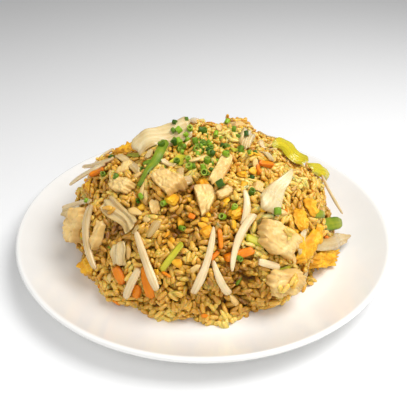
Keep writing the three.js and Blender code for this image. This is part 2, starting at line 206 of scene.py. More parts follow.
@dataclass(frozen=True)
class Piece:
    """One topping: where it starts and ends on the heap, its size, and how it bends.

    lift is how far each end stands off the heap, bow how far its middle goes aside, taper how much wider
    its far end is, ragged how torn its outline is, fold the depth of its folds, arch how far its middle
    line rises, pointed how far its ends draw in, and lean how much further one side stands off the heap
    than the other. tone is where its colour lies between its kind's pale and deep ones.
    """

    start: Pair
    end: Pair
    width: float = 4.0
    thick: float = 4.0
    bow: float = 0.0
    taper: float = 0.0
    lift: Pair = (0.0, 0.0)
    ragged: float = 0.0
    fold: float = 0.0
    arch: float = 0.0
    pointed: float = 0.0
    lean: float = 0.0
    tone: float = 0.5

    def track(self, share: Array, across: Array) -> Array:
        """Ways along the piece: an even turn from start to end, moved aside by the bow and by across."""
        first, last = way_to(*self.start), way_to(*self.end)
        aside = unit(np.cross(first, last))
        turn = np.arccos(first @ last)
        past = (share + 1) / 2 * turn
        ways = np.multiply.outer(np.sin(turn - past), first) + np.multiply.outer(np.sin(past), last)
        ways = ways / np.sin(turn)
        shift = (self.bow * (1 - share**2) + across) / FORM.dome(ways)
        return unit(ways + shift[..., None] * aside)

    def lift_at(self, share: Array) -> Array:
        """Height off the heap: each end's lift, fading with the square of the distance from it."""
        return self.lift[0] * ((1 - share) / 2) ** 2 + self.lift[1] * ((1 + share) / 2) ** 2

    def length(self) -> float:
        """Length over the heap, in millimetres."""
        return float(np.arccos(way_to(*self.start) @ way_to(*self.end)) * FORM.mean_radius)


# ---------- Meshes ----------


def make_object(name: str, points: Array, faces: list[Array], **layers: Array) -> bpy.types.Object:
    """Puts a shape into a smooth mesh of its own.

    Args:
        name: The object's name.
        points: Its vertices in millimetres, one row each.
        faces: Arrays of vertex numbers, each array with faces of one number of corners.
        layers: Values for each vertex, kept under their own names: one number, or two for a UV map.

    Returns:
        The new object, at the origin, linked to the scene.
    """
    mesh = bpy.data.meshes.new(name)
    corners = np.concatenate([f.ravel() for f in faces]).astype(np.int32)
    sizes = np.concatenate([np.full(len(f), f.shape[1]) for f in faces])
    mesh.vertices.add(len(points))
    mesh.vertices.foreach_set("co", (points * MM).ravel().astype(np.float32))
    mesh.loops.add(len(corners))
    mesh.loops.foreach_set("vertex_index", corners)
    mesh.polygons.add(len(sizes))
    mesh.polygons.foreach_set("loop_start", np.concatenate([[0], np.cumsum(sizes)[:-1]]).astype(np.int32))
    mesh.polygons.foreach_set("use_smooth", np.ones(len(sizes), dtype=bool))
    for key, values in layers.items():
        if values.ndim == 2:
            mesh.uv_layers.new(name=key).data.foreach_set("uv", values[corners].ravel().astype(np.float32))
        else:
            mesh.attributes.new(key, "FLOAT", "POINT").data.foreach_set("value", values.astype(np.float32))
    mesh.update(calc_edges=True)
    mesh.validate()
    made = bpy.data.objects.new(name, mesh)
    bpy.context.scene.collection.objects.link(made)
    return made


def dress(piece: bpy.types.Object, material: bpy.types.Material, slot: str, *nodes: str) -> bpy.types.Object:
    """Gives a piece its material and its body, and hides the solids that it stands for."""
    piece.data.materials.append(material)
    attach(piece, BODY)
    if nodes:
        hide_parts(*nodes)
    log.info("%s: %d vertices, %d faces", piece.name, len(piece.data.vertices), len(piece.data.polygons))
    return piece


@dataclass(frozen=True)
class Pillow:
    """A closed sheet: two lattices, one above the other, joined by a rounded rim.

    x and y run from -1 to 1 over it, deep from 0 underneath to 1 on top, and bulge from 0 to 1 on the rim.
    """

    x: Array
    y: Array
    deep: Array
    bulge: Array
    faces: list[Array]

    @staticmethod
    def of(steps_x: int, steps_y: int, rows: int = 3) -> "Pillow":
        """Builds a pillow with that many steps along and across it, and that many rows in its rim."""
        x, y = np.meshgrid(np.linspace(-1, 1, steps_x + 1), np.linspace(-1, 1, steps_y + 1), indexing="ij")
        grid = np.arange(x.size).reshape(x.shape)
        quads = np.stack([grid[:-1, :-1], grid[1:, :-1], grid[1:, 1:], grid[:-1, 1:]], axis=-1).reshape(-1, 4)
        rim = np.concatenate([grid[:-1, 0], grid[-1, :-1], grid[:0:-1, -1], grid[0, :0:-1]])
        loops = [rim + x.size]
        xs = [x.ravel()] * 2
        ys = [y.ravel()] * 2
        deep = [np.ones(x.size), np.zeros(x.size)]
        bulge = [np.zeros(2 * x.size)]
        for row in range(1, rows + 1):
            share = row / (rows + 1)
            loops.append(2 * x.size + (row - 1) * len(rim) + np.arange(len(rim)))
            xs.append(x.ravel()[rim])
            ys.append(y.ravel()[rim])
            deep.append(np.full(len(rim), share))
            bulge.append(np.full(len(rim), np.sin(np.pi * share)))
        loops.append(rim)
        sides = [np.stack([low, np.roll(low, -1), np.roll(high, -1), high], axis=-1)
                 for low, high in zip(loops[:-1], loops[1:])]
        faces = [np.concatenate([quads, quads[:, ::-1] + x.size, *sides])]
        return Pillow(*(np.concatenate(part) for part in (xs, ys, deep, bulge)), faces)


def lathe_faces(rows: int, sides: int) -> list[Array]:
    """The faces of a closed body made of rings of points, followed by its first and its last pole."""
    grid = np.arange(rows * sides).reshape(rows, sides)
    after = np.roll(grid, -1, axis=1)
    quads = np.stack([grid[:-1], after[:-1], after[1:], grid[1:]], axis=-1).reshape(-1, 4)
    caps = np.concatenate([
        np.stack([after[0], grid[0], np.full(sides, rows * sides)], axis=-1),
        np.stack([grid[-1], after[-1], np.full(sides, rows * sides + 1)], axis=-1),
    ])
    return [quads, caps]


def rod(sides: int, rows: int) -> tuple[Array, Array, list[Array]]:
    """A closed rod: rings of points between two tips.

    Returns:
        The share along it from -1 to 1 and the turn round it in radians, for each point, and its faces.
    """
    share = np.sin(np.linspace(-0.5, 0.5, rows + 2)[1:-1] * np.pi)
    turn = np.arange(sides) * 2 * np.pi / sides
    shares = np.concatenate([np.repeat(share, sides), [-1.0, 1.0]])
    turns = np.concatenate([np.tile(turn, rows), [0.0, 0.0]])
    return shares, turns, lathe_faces(rows, sides)


def turned(way: Array, spin: Array, tip: Array) -> Array:
    """Turning matrices that tip about Y, spin about Z, and then carry Z straight to each way.

    Args:
        way: Unit vectors, one row each.
        spin: Turns about Z, in radians.
        tip: Turns about Y, in radians.

    Returns:
        One 3 by 3 matrix for each way.
    """
    zero, one = np.zeros_like(spin), np.ones_like(spin)
    c, s = np.cos(tip), np.sin(tip)
    about_y = np.stack([c, zero, s, zero, one, zero, -s, zero, c], axis=-1).reshape(-1, 3, 3)
    c, s = np.cos(spin), np.sin(spin)
    about_z = np.stack([c, -s, zero, s, c, zero, zero, zero, one], axis=-1).reshape(-1, 3, 3)
    x, y, z = way[:, 0], way[:, 1], way[:, 2]
    k = 1 / (1 + z)
    carry = np.stack([1 - x * x * k, -x * y * k, x, -x * y * k, 1 - y * y * k, y, -x, -y, z], axis=-1)
    return carry.reshape(-1, 3, 3) @ about_z @ about_y


# ---------- Finishes ----------


def colour(code: str) -> tuple[float, float, float, float]:
    """A linear colour from a six-digit screen colour."""
    parts = np.array([int(code[i : i + 2], 16) / 255 for i in (0, 2, 4)])
    linear = np.where(parts > 0.04045, ((parts + 0.055) / 1.055) ** 2.4, parts / 12.92)
    return (*map(float, linear), 1.0)


class Graph:
    """A short way to write the nodes of one material or node group."""

    def __init__(self, tree: bpy.types.NodeTree) -> None:
        """Takes the tree that the nodes go into."""
        self.tree = tree

    def add(self, kind: str, inputs: dict | None = None, **settings: object) -> bpy.types.Node:
        """Adds a node of a kind.

        Args:
            kind: The node's type, without ShaderNode in front.
            inputs: Values or output sockets for its inputs, by name or number.
            settings: Settings of the node itself.

        Returns:
            The new node.
        """
        node = self.tree.nodes.new(f"ShaderNode{kind}")
        for key, value in settings.items():
            setattr(node, key, value)
        self.feed(node, inputs or {})
        return node

    def feed(self, node: bpy.types.Node, inputs: dict) -> None:
        """Gives inputs of a node, by name or number, their values or the sockets that they come from."""
        for key, value in inputs.items():
            if isinstance(value, bpy.types.NodeSocket):
                self.tree.links.new(value, node.inputs[key])
            else:
                node.inputs[key].default_value = value

    def blend(self, mask: object, first: object, second: object) -> bpy.types.NodeSocket:
        """A colour that goes from the first to the second as the mask goes from 0 to 1."""
        return self.add("Mix", {0: mask, 6: first, 7: second}, data_type="RGBA", clamp_factor=True).outputs[2]

    def math(self, operation: str, *values: object) -> bpy.types.NodeSocket:
        """The value of a sum on sockets or numbers."""
        return self.add("Math", dict(enumerate(values)), operation=operation).outputs[0]

    def between(self, mask: bpy.types.NodeSocket, low: float, high: float) -> bpy.types.NodeSocket:
        """A number that goes from low to high as the mask goes from 0 to 1."""
        return self.add("MapRange", {"Value": mask, "To Min": low, "To Max": high}).outputs[0]

    def bump(self, height: bpy.types.NodeSocket, distance: float, strength: float) -> bpy.types.NodeSocket:
        """The normal of a relief that is a distance deep, in millimetres."""
        inputs = {"Height": height, "Distance": distance * MM, "Strength": strength}
        return self.add("Bump", inputs).outputs[0]

    def attribute(self, name: str) -> bpy.types.NodeSocket:
        """The value of one of the mesh's own attributes."""
        return self.add("Attribute", attribute_name=name).outputs["Fac"]


def new_material(name: str) -> tuple[bpy.types.Material, Graph, bpy.types.Node]:
    """Starts a material.

    Args:
        name: Its name.

    Returns:
        The material, its graph and its shader.
    """
    material = bpy.data.materials.new(name)
    material.use_nodes = True
    graph = Graph(material.node_tree)
    return material, graph, graph.tree.nodes["Principled BSDF"]


def make_group(name: str, inputs: dict[str, float]) -> tuple[Graph, bpy.types.Node, bpy.types.Node]:
    """Starts a node group that makes a mask from a vector and from numbers with names and first values.

    Args:
        name: Its name.
        inputs: The numbers.

    Returns:
        Its graph, its input node and its output node.
    """
    tree = bpy.data.node_groups.new(name, "ShaderNodeTree")
    tree.interface.new_socket("Vector", in_out="INPUT", socket_type="NodeSocketVector")
    for key, value in inputs.items():
        tree.interface.new_socket(key, in_out="INPUT", socket_type="NodeSocketFloat").default_value = value
    tree.interface.new_socket("Mask", in_out="OUTPUT", socket_type="NodeSocketFloat")
    return Graph(tree), tree.nodes.new("NodeGroupInput"), tree.nodes.new("NodeGroupOutput")


def sharpened(graph: Graph, noise: bpy.types.Node, given: bpy.types.Node, result: bpy.types.Node) -> None:
    """Ends a group: its noise, sharpened about the middle, is the mask that it gives."""
    centred = graph.math("SUBTRACT", noise.outputs["Fac"], 0.5)
    sharp = graph.math("MULTIPLY_ADD", centred, given.outputs["Sharpness"], 0.5)
    graph.feed(result, {"Mask": graph.add("Clamp", {"Value": sharp}).outputs[0]})


def blotch_group() -> bpy.types.NodeTree:
    """Soft blotches: noise of one scale, sharpened about its middle."""
    graph, given, result = make_group("blotches", {"Scale": 200.0, "Sharpness": 2.0})
    inputs = {"Vector": given.outputs["Vector"], "Scale": given.outputs["Scale"], "Detail": 3.0}
    noise = graph.add("TexNoise", inputs)
    sharpened(graph, noise, given, result)
    return graph.tree


def streak_group() -> bpy.types.NodeTree:
    """Streaks along U: noise stretched until it is many times longer than it is wide."""
    graph, given, result = make_group("streaks", {"Across": 10.0, "Along": 1.0, "Sharpness": 2.0})
    parts = graph.add("SeparateXYZ", {0: given.outputs["Vector"]})
    along = graph.math("MULTIPLY", parts.outputs[0], given.outputs["Along"])
    across = graph.math("MULTIPLY", parts.outputs[1], given.outputs["Across"])
    joined = graph.add("CombineXYZ", {0: along, 1: across})
    inputs = {"Vector": joined.outputs[0], "Scale": 1.0, "Detail": 2.0, "Distortion": 0.4}
    noise = graph.add("TexNoise", inputs)
    sharpened(graph, noise, given, result)
    return graph.tree


BLOTCHES = blotch_group()
STREAKS = streak_group()


def blotches(
    graph: Graph, vector: bpy.types.NodeSocket, scale: float, sharpness: float
) -> bpy.types.NodeSocket:
    """The mask of the shared blotches, at a scale and sharpness."""
    inputs = {"Vector": vector, "Scale": scale, "Sharpness": sharpness}
    return graph.add("Group", inputs, node_tree=BLOTCHES).outputs["Mask"]


def streaks(
    graph: Graph, vector: bpy.types.NodeSocket, across: float, along: float, sharpness: float
) -> bpy.types.NodeSocket:
    """The mask of the shared streaks, with so many across and along each centimetre."""
    inputs = {"Vector": vector, "Across": across, "Along": along, "Sharpness": sharpness}
    return graph.add("Group", inputs, node_tree=STREAKS).outputs["Mask"]


@dataclass(frozen=True)
class Finish:
    """The look of one food: pale and deep colours that blotches and streaks mix, and an edge colour.

    Each piece's own attributes take part: its tone, times the finish's, moves it from pale to deep, and its
    edge, 1 at the rim and 0 inside, brings in edge_share of the edge colour. blotch is the scale, sharpness
    and share of the blotches, and streak how many streaks there are across and along a centimetre, and
    their share. depth and glow are the scale in millimetres and the colour of the light that comes back
    from inside, bump is the relief's depth in millimetres, coat the share of oil on it, and shine how much
    light the bare surface throws back.
    """

    name: str
    pale: str
    deep: str
    edge: str
    tone: float = 0.5
    blotch: tuple[float, float, float] = (260.0, 2.0, 0.5)
    streak: tuple[float, float, float] = (9.0, 0.8, 0.5)
    edge_share: float = 0.5
    roughness: Pair = (0.35, 0.55)
    coat: float = 0.15
    subsurface: float = 0.2
    depth: float = 1.5
    bump: float = 0.15
    shine: float = 0.35
    glow: tuple[float, float, float] = (1.0, 0.6, 0.3)

    def make(self) -> bpy.types.Material:
        """Builds the material, or finds it where it has been built before."""
        if self.name in bpy.data.materials:
            return bpy.data.materials[self.name]
        material, graph, shader = new_material(self.name)
        places = graph.add("TexCoord")
        spots = blotches(graph, places.outputs["Object"], *self.blotch[:2])
        lines = streaks(graph, places.outputs["UV"], *self.streak[:2], sharpness=2.5)
        tone = graph.attribute("tone")
        edge = graph.attribute("edge")
        mask = graph.math("MULTIPLY", tone, self.tone)
        mask = graph.math("MULTIPLY_ADD", spots, self.blotch[2], mask)
        mask = graph.math("MULTIPLY_ADD", lines, self.streak[2], mask)
        mask = graph.math("SUBTRACT", mask, (self.blotch[2] + self.streak[2]) / 2)
        body = graph.blend(mask, colour(self.pale), colour(self.deep))
        rim = graph.math("MULTIPLY", edge, self.edge_share)
        rim = graph.math("MULTIPLY", rim, graph.math("ADD", spots, 0.35))
        fine = blotches(graph, places.outputs["Object"], self.blotch[0] * 4, 1.5)
        height = graph.math("MULTIPLY_ADD", lines, 1.0, graph.math("MULTIPLY", fine, 0.6))
        graph.feed(shader, {
            "Base Color": graph.blend(rim, body, colour(self.edge)),
            "Roughness": graph.between(spots, *self.roughness),
            "Normal": graph.bump(height, self.bump, 0.8),
            "Coat Weight": self.coat,
            "Coat Roughness": 0.18,
            "Specular IOR Level": self.shine,
            "Subsurface Weight": self.subsurface,
            "Subsurface Radius": self.glow,
            "Subsurface Scale": self.depth * MM,
        })
        return material


class Toning(Enum):
    """How dark a grain's colour is, from fry and from painted shade, as the range of its tone from pale to
    deep.
    """

    PALE = (0.0, 0.32)
    LIGHT = (0.32, 0.42)
    GOLDEN = (0.42, 0.51)
    AMBER = (0.51, 0.6)
    BROWNED = (0.6, 0.74)
    TOASTED = (0.74, 1.0)


@dataclass(frozen=True)
class GrainFinish:
    """The look of rice: each grain between pale and dark brown by its own tone, which carries fry and painted
    shade, its tips a little paler.

    stops are the colours of the tones. tips is what a tip adds to the tone and spotted what blotches do,
    and depth is the scale in millimetres of the light that comes back from inside.
    """

    name: str = "fried_rice"
    stops: tuple[tuple[float, str], ...] = (
        (0.0, "f9dc8c"), (0.3, "f1c75e"), (0.6, "dca73a"), (0.85, "b58224"), (1.0, "8a5814"),
    )
    roughness: Pair = (0.26, 0.5)
    depth: float = 2.6
    tips: float = -0.1
    spotted: float = 0.22

    def make(self) -> bpy.types.Material:
        """Builds the material from a colour ramp over tone."""
        material, graph, shader = new_material(self.name)
        places = graph.add("TexCoord")
        tone = graph.attribute("tone")
        edge = graph.attribute("edge")
        spots = blotches(graph, places.outputs["Object"], 420.0, 1.6)
        mask = graph.math("MULTIPLY_ADD", edge, self.tips, tone)
        mask = graph.math("MULTIPLY_ADD", spots, self.spotted, mask)
        mask = graph.math("SUBTRACT", mask, 0.09)
        ramp = graph.add("ValToRGB", {"Fac": mask})
        stops = ramp.color_ramp.elements
        stops[1].position = 1.0
        for position, code in self.stops[1:-1]:
            stops.new(position).color = colour(code)
        stops[0].color = colour(self.stops[0][1])
        stops[len(self.stops) - 1].color = colour(self.stops[-1][1])
        fine = blotches(graph, places.outputs["Object"], 1400.0, 1.5)
        lines = streaks(graph, places.outputs["UV"], 14.0, 1.6, sharpness=2.0)
        graph.feed(shader, {
            "Base Color": ramp.outputs[0],
            "Roughness": graph.between(spots, *self.roughness),
            "Normal": graph.bump(graph.math("MULTIPLY_ADD", lines, 0.8, fine), 0.08, 0.6),
            "Coat Weight": 0.22,
            "Coat Roughness": 0.22,
            "Specular IOR Level": 0.45,
            "Subsurface Weight": 0.7,
            "Subsurface Radius": (1.0, 0.55, 0.25),
            "Subsurface Scale": self.depth * MM,
        })
        return material


# ---------- The plate ----------


@dataclass(frozen=True)
class Plate:
    """A round white plate, turned from one profile: foot ring, well, rim and rounded lip."""

    radius: float = 120.0
    height: float = 19.0
    wall: float = 4.2
    well: float = 91.0
    foot: float = 66.0
    foot_width: float = 6.0
    lip: float = 1.7
    sides: int = 288

    def profile(self) -> Array:
        """The section as (radius, height) points: the underside out to the lip, and the top back in."""
        under = WELL_TOP - self.wall
        inner, outer = self.foot - self.foot_width / 2, self.foot + self.foot_width / 2
        foot = [(0, under), (inner - 1.2, under), (inner - 0.3, under - 0.4), (inner, 0.5), (inner + 0.5, 0),
                (outer - 0.5, 0), (outer, 0.5), (outer + 0.4, under - 0.6), (outer + 1.6, under)]
        share = np.linspace(0, 1, 18)
        top = WELL_TOP + (self.height - 0.6 * self.lip - WELL_TOP) * share**1.5
        thick = self.wall + (2 * self.lip - self.wall) * share
        end = self.radius - self.lip
        below = np.stack([self.well + (end - self.well) * share, top - thick], axis=-1)
        turn = np.linspace(-0.45, 0.5, 11)[1:] * np.pi
        middle = self.height - self.lip
        lip = np.stack([end + self.lip * np.cos(turn), middle + self.lip * np.sin(turn)], axis=-1)
        above = np.stack([self.well + (end - self.lip - self.well) * share, top], axis=-1)[::-1]
        return np.concatenate([foot, below, lip, above, [(self.well - 6, WELL_TOP), (0, WELL_TOP)]])

    def finish(self) -> bpy.types.Material:
        """White glaze over a faintly uneven body."""
        material, graph, shader = new_material("white_glaze")
        spots = blotches(graph, graph.add("TexCoord").outputs["Object"], 30.0, 1.4)
        graph.feed(shader, {
            "Base Color": graph.blend(spots, colour("f6f5f2"), colour("efeeea")),
            "Roughness": graph.between(spots, 0.12, 0.2),
            "Normal": graph.bump(spots, 0.05, 0.4),
            "Coat Weight": 0.6,
            "Coat Roughness": 0.06,
        })
        return material

    def build(self) -> bpy.types.Object:
        """Turns the profile about Z into a closed body, with one point at each pole."""
        profile = self.profile()
        turn = np.arange(self.sides) * 2 * np.pi / self.sides
        inner = profile[1:-1]
        rings = np.stack([
            np.multiply.outer(inner[:, 0], np.cos(turn)),
            np.multiply.outer(inner[:, 0], np.sin(turn)),
            np.repeat(inner[:, 1:], self.sides, axis=1),
        ], axis=-1)
        points = np.concatenate([rings.reshape(-1, 3), [(0, 0, profile[0, 1]), (0, 0, profile[-1, 1])]])
        piece = make_object("glazed_plate", points, lathe_faces(len(inner), self.sides))
        return dress(piece, self.finish(), "porcelain", "plate")


# ---------- Toppings ----------


@dataclass(frozen=True)
class SlabKind:
    """A kind of topping made of flat or chunky pieces, with a relief of its own.

    stiff pieces have an even top over the lumps of the rice, and soft ones lie over them. steps are how
    many steps the mesh has along and across a piece. rough is the depth and length of their lumps, puffs
    the height and length of rounded swellings, creases the depth and length of lines pressed in, grooves
    the depth and spacing of grooves along them, slant how far those turn aside, and ruffle the height and
    length of waves that lift both of their faces. All but the ruffle fade on pieces narrower than
    bump_width. fray is how uneven their outline is, torn how much of the solid's ragged edge they keep, rim
    how far the rim bulges, and square how near it the top stays flat. extras are small pieces that stand
    for no solid of their own.
    """

    name: str
    finish: Finish
    pieces: tuple[Piece, ...]
    stiff: bool = False
    steps: tuple[int, int] = (56, 36)
    rough: Pair = (0.0, 6.0)
    grooves: Pair = (0.0, 1.2)
    ruffle: Pair = (0.0, 8.0)
    fray: float = 0.03
    torn: float = 1.0
    puffs: Pair = (0.0, 4.0)
    creases: Pair = (0.0, 9.0)
    rim: float = 0.35
    slant: float = 0.0
    square: float = 4.0
    bump_width: float = 9.0
    extras: tuple[Piece, ...] = ()

    def shape(self, piece: Piece, pillow: Pillow, seed: int) -> tuple[Array, Array]:
        """The piece's points, and its UV map in centimetres along and across it.

        The outline is a rectangle with round corners, the underside follows the heap, and the top closes in
        on it towards the rim.
        """
        x, y, deep = pillow.x, pillow.y, pillow.deep

        # The outline, with its corners rounded off and its edge torn.
        corners = 0.6 if self.stiff else 0.35
        tear = 1 + self.torn * piece.ragged * np.sin(7 * x + 11 * y + 5 * piece.width)
        tear = tear * (1 + self.fray * ripples(np.stack([x, y, 0 * x], axis=-1) * 3, 3.6, seed))
        share = x * np.sqrt(1 - corners * y * y / 2) * tear
        half = piece.width / 2 * (1 + piece.taper * x) * (1 - piece.pointed * x**4) * tear
        across = y * np.sqrt(1 - corners * x * x / 2) * half
        length = piece.length()
        spot = np.stack([share * length / 2, across, 0 * x], axis=-1)
        share = share * (1 + 2 * self.rim * pillow.bulge * np.abs(x) ** 8 / length)
        across = across * (1 + self.rim * pillow.bulge * np.abs(y) ** 8 / np.maximum(half, 1))
        ways = piece.track(share, across)

        # The heights of the underside and of the smooth top.
        edge = np.maximum(x**4, y**4)
        wander = 1.3 * ripples(spot, 13.0, seed + 370)
        raised = piece.lift_at(share) + piece.fold * (1 + np.cos(7 * y + wander)) + piece.arch * (1 - y * y)
        raised = raised + (abs(piece.lean) + piece.lean * y) / 2
        wave = ripples(spot, self.ruffle[1], seed + 50)
        raised = raised + self.ruffle[0] * (1 + wave) * (0.35 + 0.65 * edge)
        low = FORM.lumps(ways) + UNDER_GAP + raised
        tries = np.array([-0.8, 0.0, 0.8])
        beds = FORM.lumps(piece.track(*(g.ravel() for g in np.meshgrid(tries, tries * piece.width / 2))))
        full = low + piece.thick
        if self.stiff:
            full = np.maximum(beds.mean() + UNDER_GAP + raised + piece.thick, low + 1)
        round_off = np.maximum(np.abs(x) ** self.square, np.abs(y) ** self.square)
        top = low + (full - low) * (0.55 + 0.45 * np.sqrt(1 - round_off**2))

        # The relief on the top: lumps, grooves, puffs and creases.
        bumps = self.rough[0] * ripples(spot, self.rough[1], seed + 90)
        bumps = bumps + 0.4 * self.rough[0] * ripples(spot, self.rough[1] * 0.4, seed + 130)
        warp = spot[:, 1] + self.slant * spot[:, 0] + 1.6 * ripples(spot, 16.0, seed + 170)
        groove = np.abs(np.sin(np.pi * warp / self.grooves[1] + 1.5 * ripples(spot, 7.0, seed + 210)))
        bumps = bumps - self.grooves[0] * (1 - groove) ** 2 * 2
        size, length = self.puffs
        puffed = sum(np.abs(ripples(spot, length / k, seed + 250 + 40 * k)) / k**1.7 for k in (1, 2, 4))
        lines = np.abs(ripples(spot * [0.6, 1, 1], self.creases[1], seed + 330))
        crease = np.clip(1 - lines * 1.4, 0, 1)
        bumps = bumps + size * (puffed - 0.6) - self.creases[0] * crease**2
        height = low + (top - low) * deep + bumps * deep * min(1.0, piece.width / self.bump_width)
        return FORM.point(ways, height), spot[:, :2] / 10

    def build(self) -> list[bpy.types.Object]:
        """Builds every piece of the kind, each for its own solid, and the extras for parts of the heap."""
        pillow = Pillow.of(*self.steps)
        material = self.finish.make()
        edge = np.maximum(pillow.x**6, pillow.y**6)
        made = []
        for number, piece in enumerate(self.pieces + self.extras, start=1):
            seed = 31 * number + 7 * len(self.name)
            points, spot = self.shape(piece, pillow, seed)
            tone = np.full(len(points), piece.tone)
            name = f"{self.name}_piece_{number}"
            made.append(make_object(name, points, pillow.faces, UVMap=spot, tone=tone, edge=edge))
            own = number <= len(self.pieces)
            dress(made[-1], material, self.name, f"{self.name}_{number}" if own else "rice_heap")
        return made


@dataclass(frozen=True)
class StrandKind:
    """Bean sprouts: stiff strands, thinner at the ends.

    sides and rows are the mesh's points round and along each. groove is the depth of the groove along it and
    flat how much wider it is than thick, both as shares of its radius.
    """

    name: str
    finish: Finish
    pieces: tuple[Piece, ...]
    sides: int = 18
    rows: int = 46
    groove: float = 0.22
    flat: float = 0.16

    def shape(self, piece: Piece, seed: int) -> tuple[Array, Array, Array, list[Array]]:
        """The strand's points, UV map, how near each point is to an end, and faces.

        Its middle line is a parabola fitted to the lumps under it and raised until it clears them all.
        """
        tries = np.linspace(-1, 1, 9)
        heights = FORM.lumps(piece.track(tries, 0 * tries))
        curve = np.polyfit(tries, heights, 2)
        clear = np.max(heights - np.polyval(curve, tries))

        # Its radius: round over the last part of each end, slimmer near it, and uneven along it.
        share, turn, faces = rod(self.sides, self.rows)
        end = np.sqrt(np.clip((1 - np.abs(share)) / 0.04, 0, 1))
        slim = 1 - 0.12 * share**2 - 0.3 * share**8 + piece.taper * share
        radius = piece.thick / 2 * 0.94 * slim * end
        wobble = ripples(np.stack([share * piece.length() / 2, 0 * share, 0 * share], axis=-1), 9.0, seed)
        radius = radius * (1 + 0.05 * wobble) * (1 + self.flat * np.cos(2 * turn))
        radius = radius * (1 - self.groove * np.exp(-((turn - np.pi * 1.62) / 0.3) ** 2))
        middle = np.polyval(curve, share) + clear + UNDER_GAP + piece.thick / 2 + piece.lift_at(share)
        ways = piece.track(share, radius * np.cos(turn))
        spot = np.stack([share * piece.length() / 20, turn * piece.thick / 20], axis=-1)
        return FORM.point(ways, middle + radius * np.sin(turn)), spot, np.abs(share) ** 12, faces

    def build(self) -> list[bpy.types.Object]:
        """Builds every strand, each standing for its own solid."""
        material = self.finish.make()
        made = []
        for number, piece in enumerate(self.pieces, start=1):
            points, spot, edge, faces = self.shape(piece, 17 * number)
            tone = np.full(len(points), piece.tone)
            name = f"{self.name}_piece_{number}"
            made.append(make_object(name, points, faces, UVMap=spot, tone=tone, edge=edge))
            dress(made[-1], material, self.name, f"{self.name}_{number}")
        return made


CHICKEN = SlabKind(
    "chicken",
    Finish("poached_chicken", pale="f4d48c", deep="cc9844", edge="c08c38", blotch=(130.0, 1.8, 0.7),
           streak=(9.0, 0.5, 0.2), edge_share=0.35, roughness=(0.32, 0.5), subsurface=0.4, depth=1.6,
           bump=0.12, glow=(1.0, 0.75, 0.35)),
    (
        Piece((-43, 58), (-19, 55), 11, 6, taper=0.3, ragged=0.04, tone=0.75),
        Piece((-3, 59), (0, 44), 9, 5, bow=2, taper=-0.3, tone=0.25),
        Piece((-70, 25), (-72, 9), 10, 6, ragged=0.05, lean=-4),
        Piece((27, 35), (40, 23), 15, 7, ragged=0.05, lift=(0.8, 0.8), tone=0.6),
        Piece((25, 15), (39, 11), 13, 6, ragged=0.06, lift=(1, 1)),
        Piece((56, 75), (9, 59), 7.5, 4, lift=(0.8, 0.8)),
        Piece((-66, 43), (-53, 47), 9, 5, ragged=0.06),
        Piece((-53, 29), (-52, 17), 5.5, 4.5),
        Piece((150, 42), (166, 28), 17, 7),
        Piece((-138, 22), (-124, 12), 16, 7),
    ),
    stiff=True, rough=(0.6, 7.0), grooves=(0.24, 2.8), slant=0.35, fray=0.09, torn=0.8, creases=(0.8, 10.0),
    square=9.0,
    extras=(
        Piece((10, 52), (21, 55), 5, 2, ragged=0.03, tone=0.6),
        Piece((-34, 47), (-27, 42), 5, 2.4, ragged=0.03, tone=0.8),
        Piece((38, 49), (46, 53), 5, 2.4, ragged=0.03, tone=0.5),
        Piece((-80, 52), (-70, 48), 6, 2.6, ragged=0.03, tone=0.5),
    ),
)
EGG = SlabKind(
    "egg",
    Finish("scrambled_egg", pale="f6c028", deep="de8c08", edge="c87c10", blotch=(190.0, 3.0, 0.9),
           streak=(4.0, 2.0, 0.2), edge_share=0.3, roughness=(0.4, 0.6), coat=0.05, subsurface=0.25,
           bump=0.3),
    (
        Piece((56, 33), (50, 27), 8, 3.5, ragged=0.15),
        Piece((59, 20), (42, 17), 8, 4, ragged=0.15),
        Piece((54, 9), (69, 3), 9, 5, ragged=0.15, lift=(0.5, 6)),
        Piece((16, 43), (23, 44), 4.5, 2.5, ragged=0.1),
        Piece((-57, 5), (-52, 11), 8, 4.5, ragged=0.1),
        Piece((-112, 40), (-110, 49), 8, 4, ragged=0.15),
        Piece((-160, 46), (-147, 50), 10, 5, ragged=0.15),
    ),
    stiff=True, rough=(0.5, 8.0), fray=0.11, torn=0.35, puffs=(1.7, 6.5), creases=(0.5, 9.0), rim=1.3,
    extras=(
        Piece((-4, 60), (2, 61), 5, 2.5, tone=0.7),
        Piece((58, 16), (63, 22), 4.5, 3, tone=0.5),
        Piece((44, 21), (48, 25), 4, 2.5, tone=0.6),
        Piece((40, 60), (43, 62), 3, 2, tone=0.6),
        Piece((0, 36), (4, 38), 3.5, 2, tone=0.9),
        Piece((-24, 50), (-18, 49), 4, 2, tone=0.2),
        Piece((62, 28), (66, 33), 5, 3, tone=0.4),
        Piece((-88, 31), (-84, 28), 4, 2.5, tone=0.4),
    ),
)
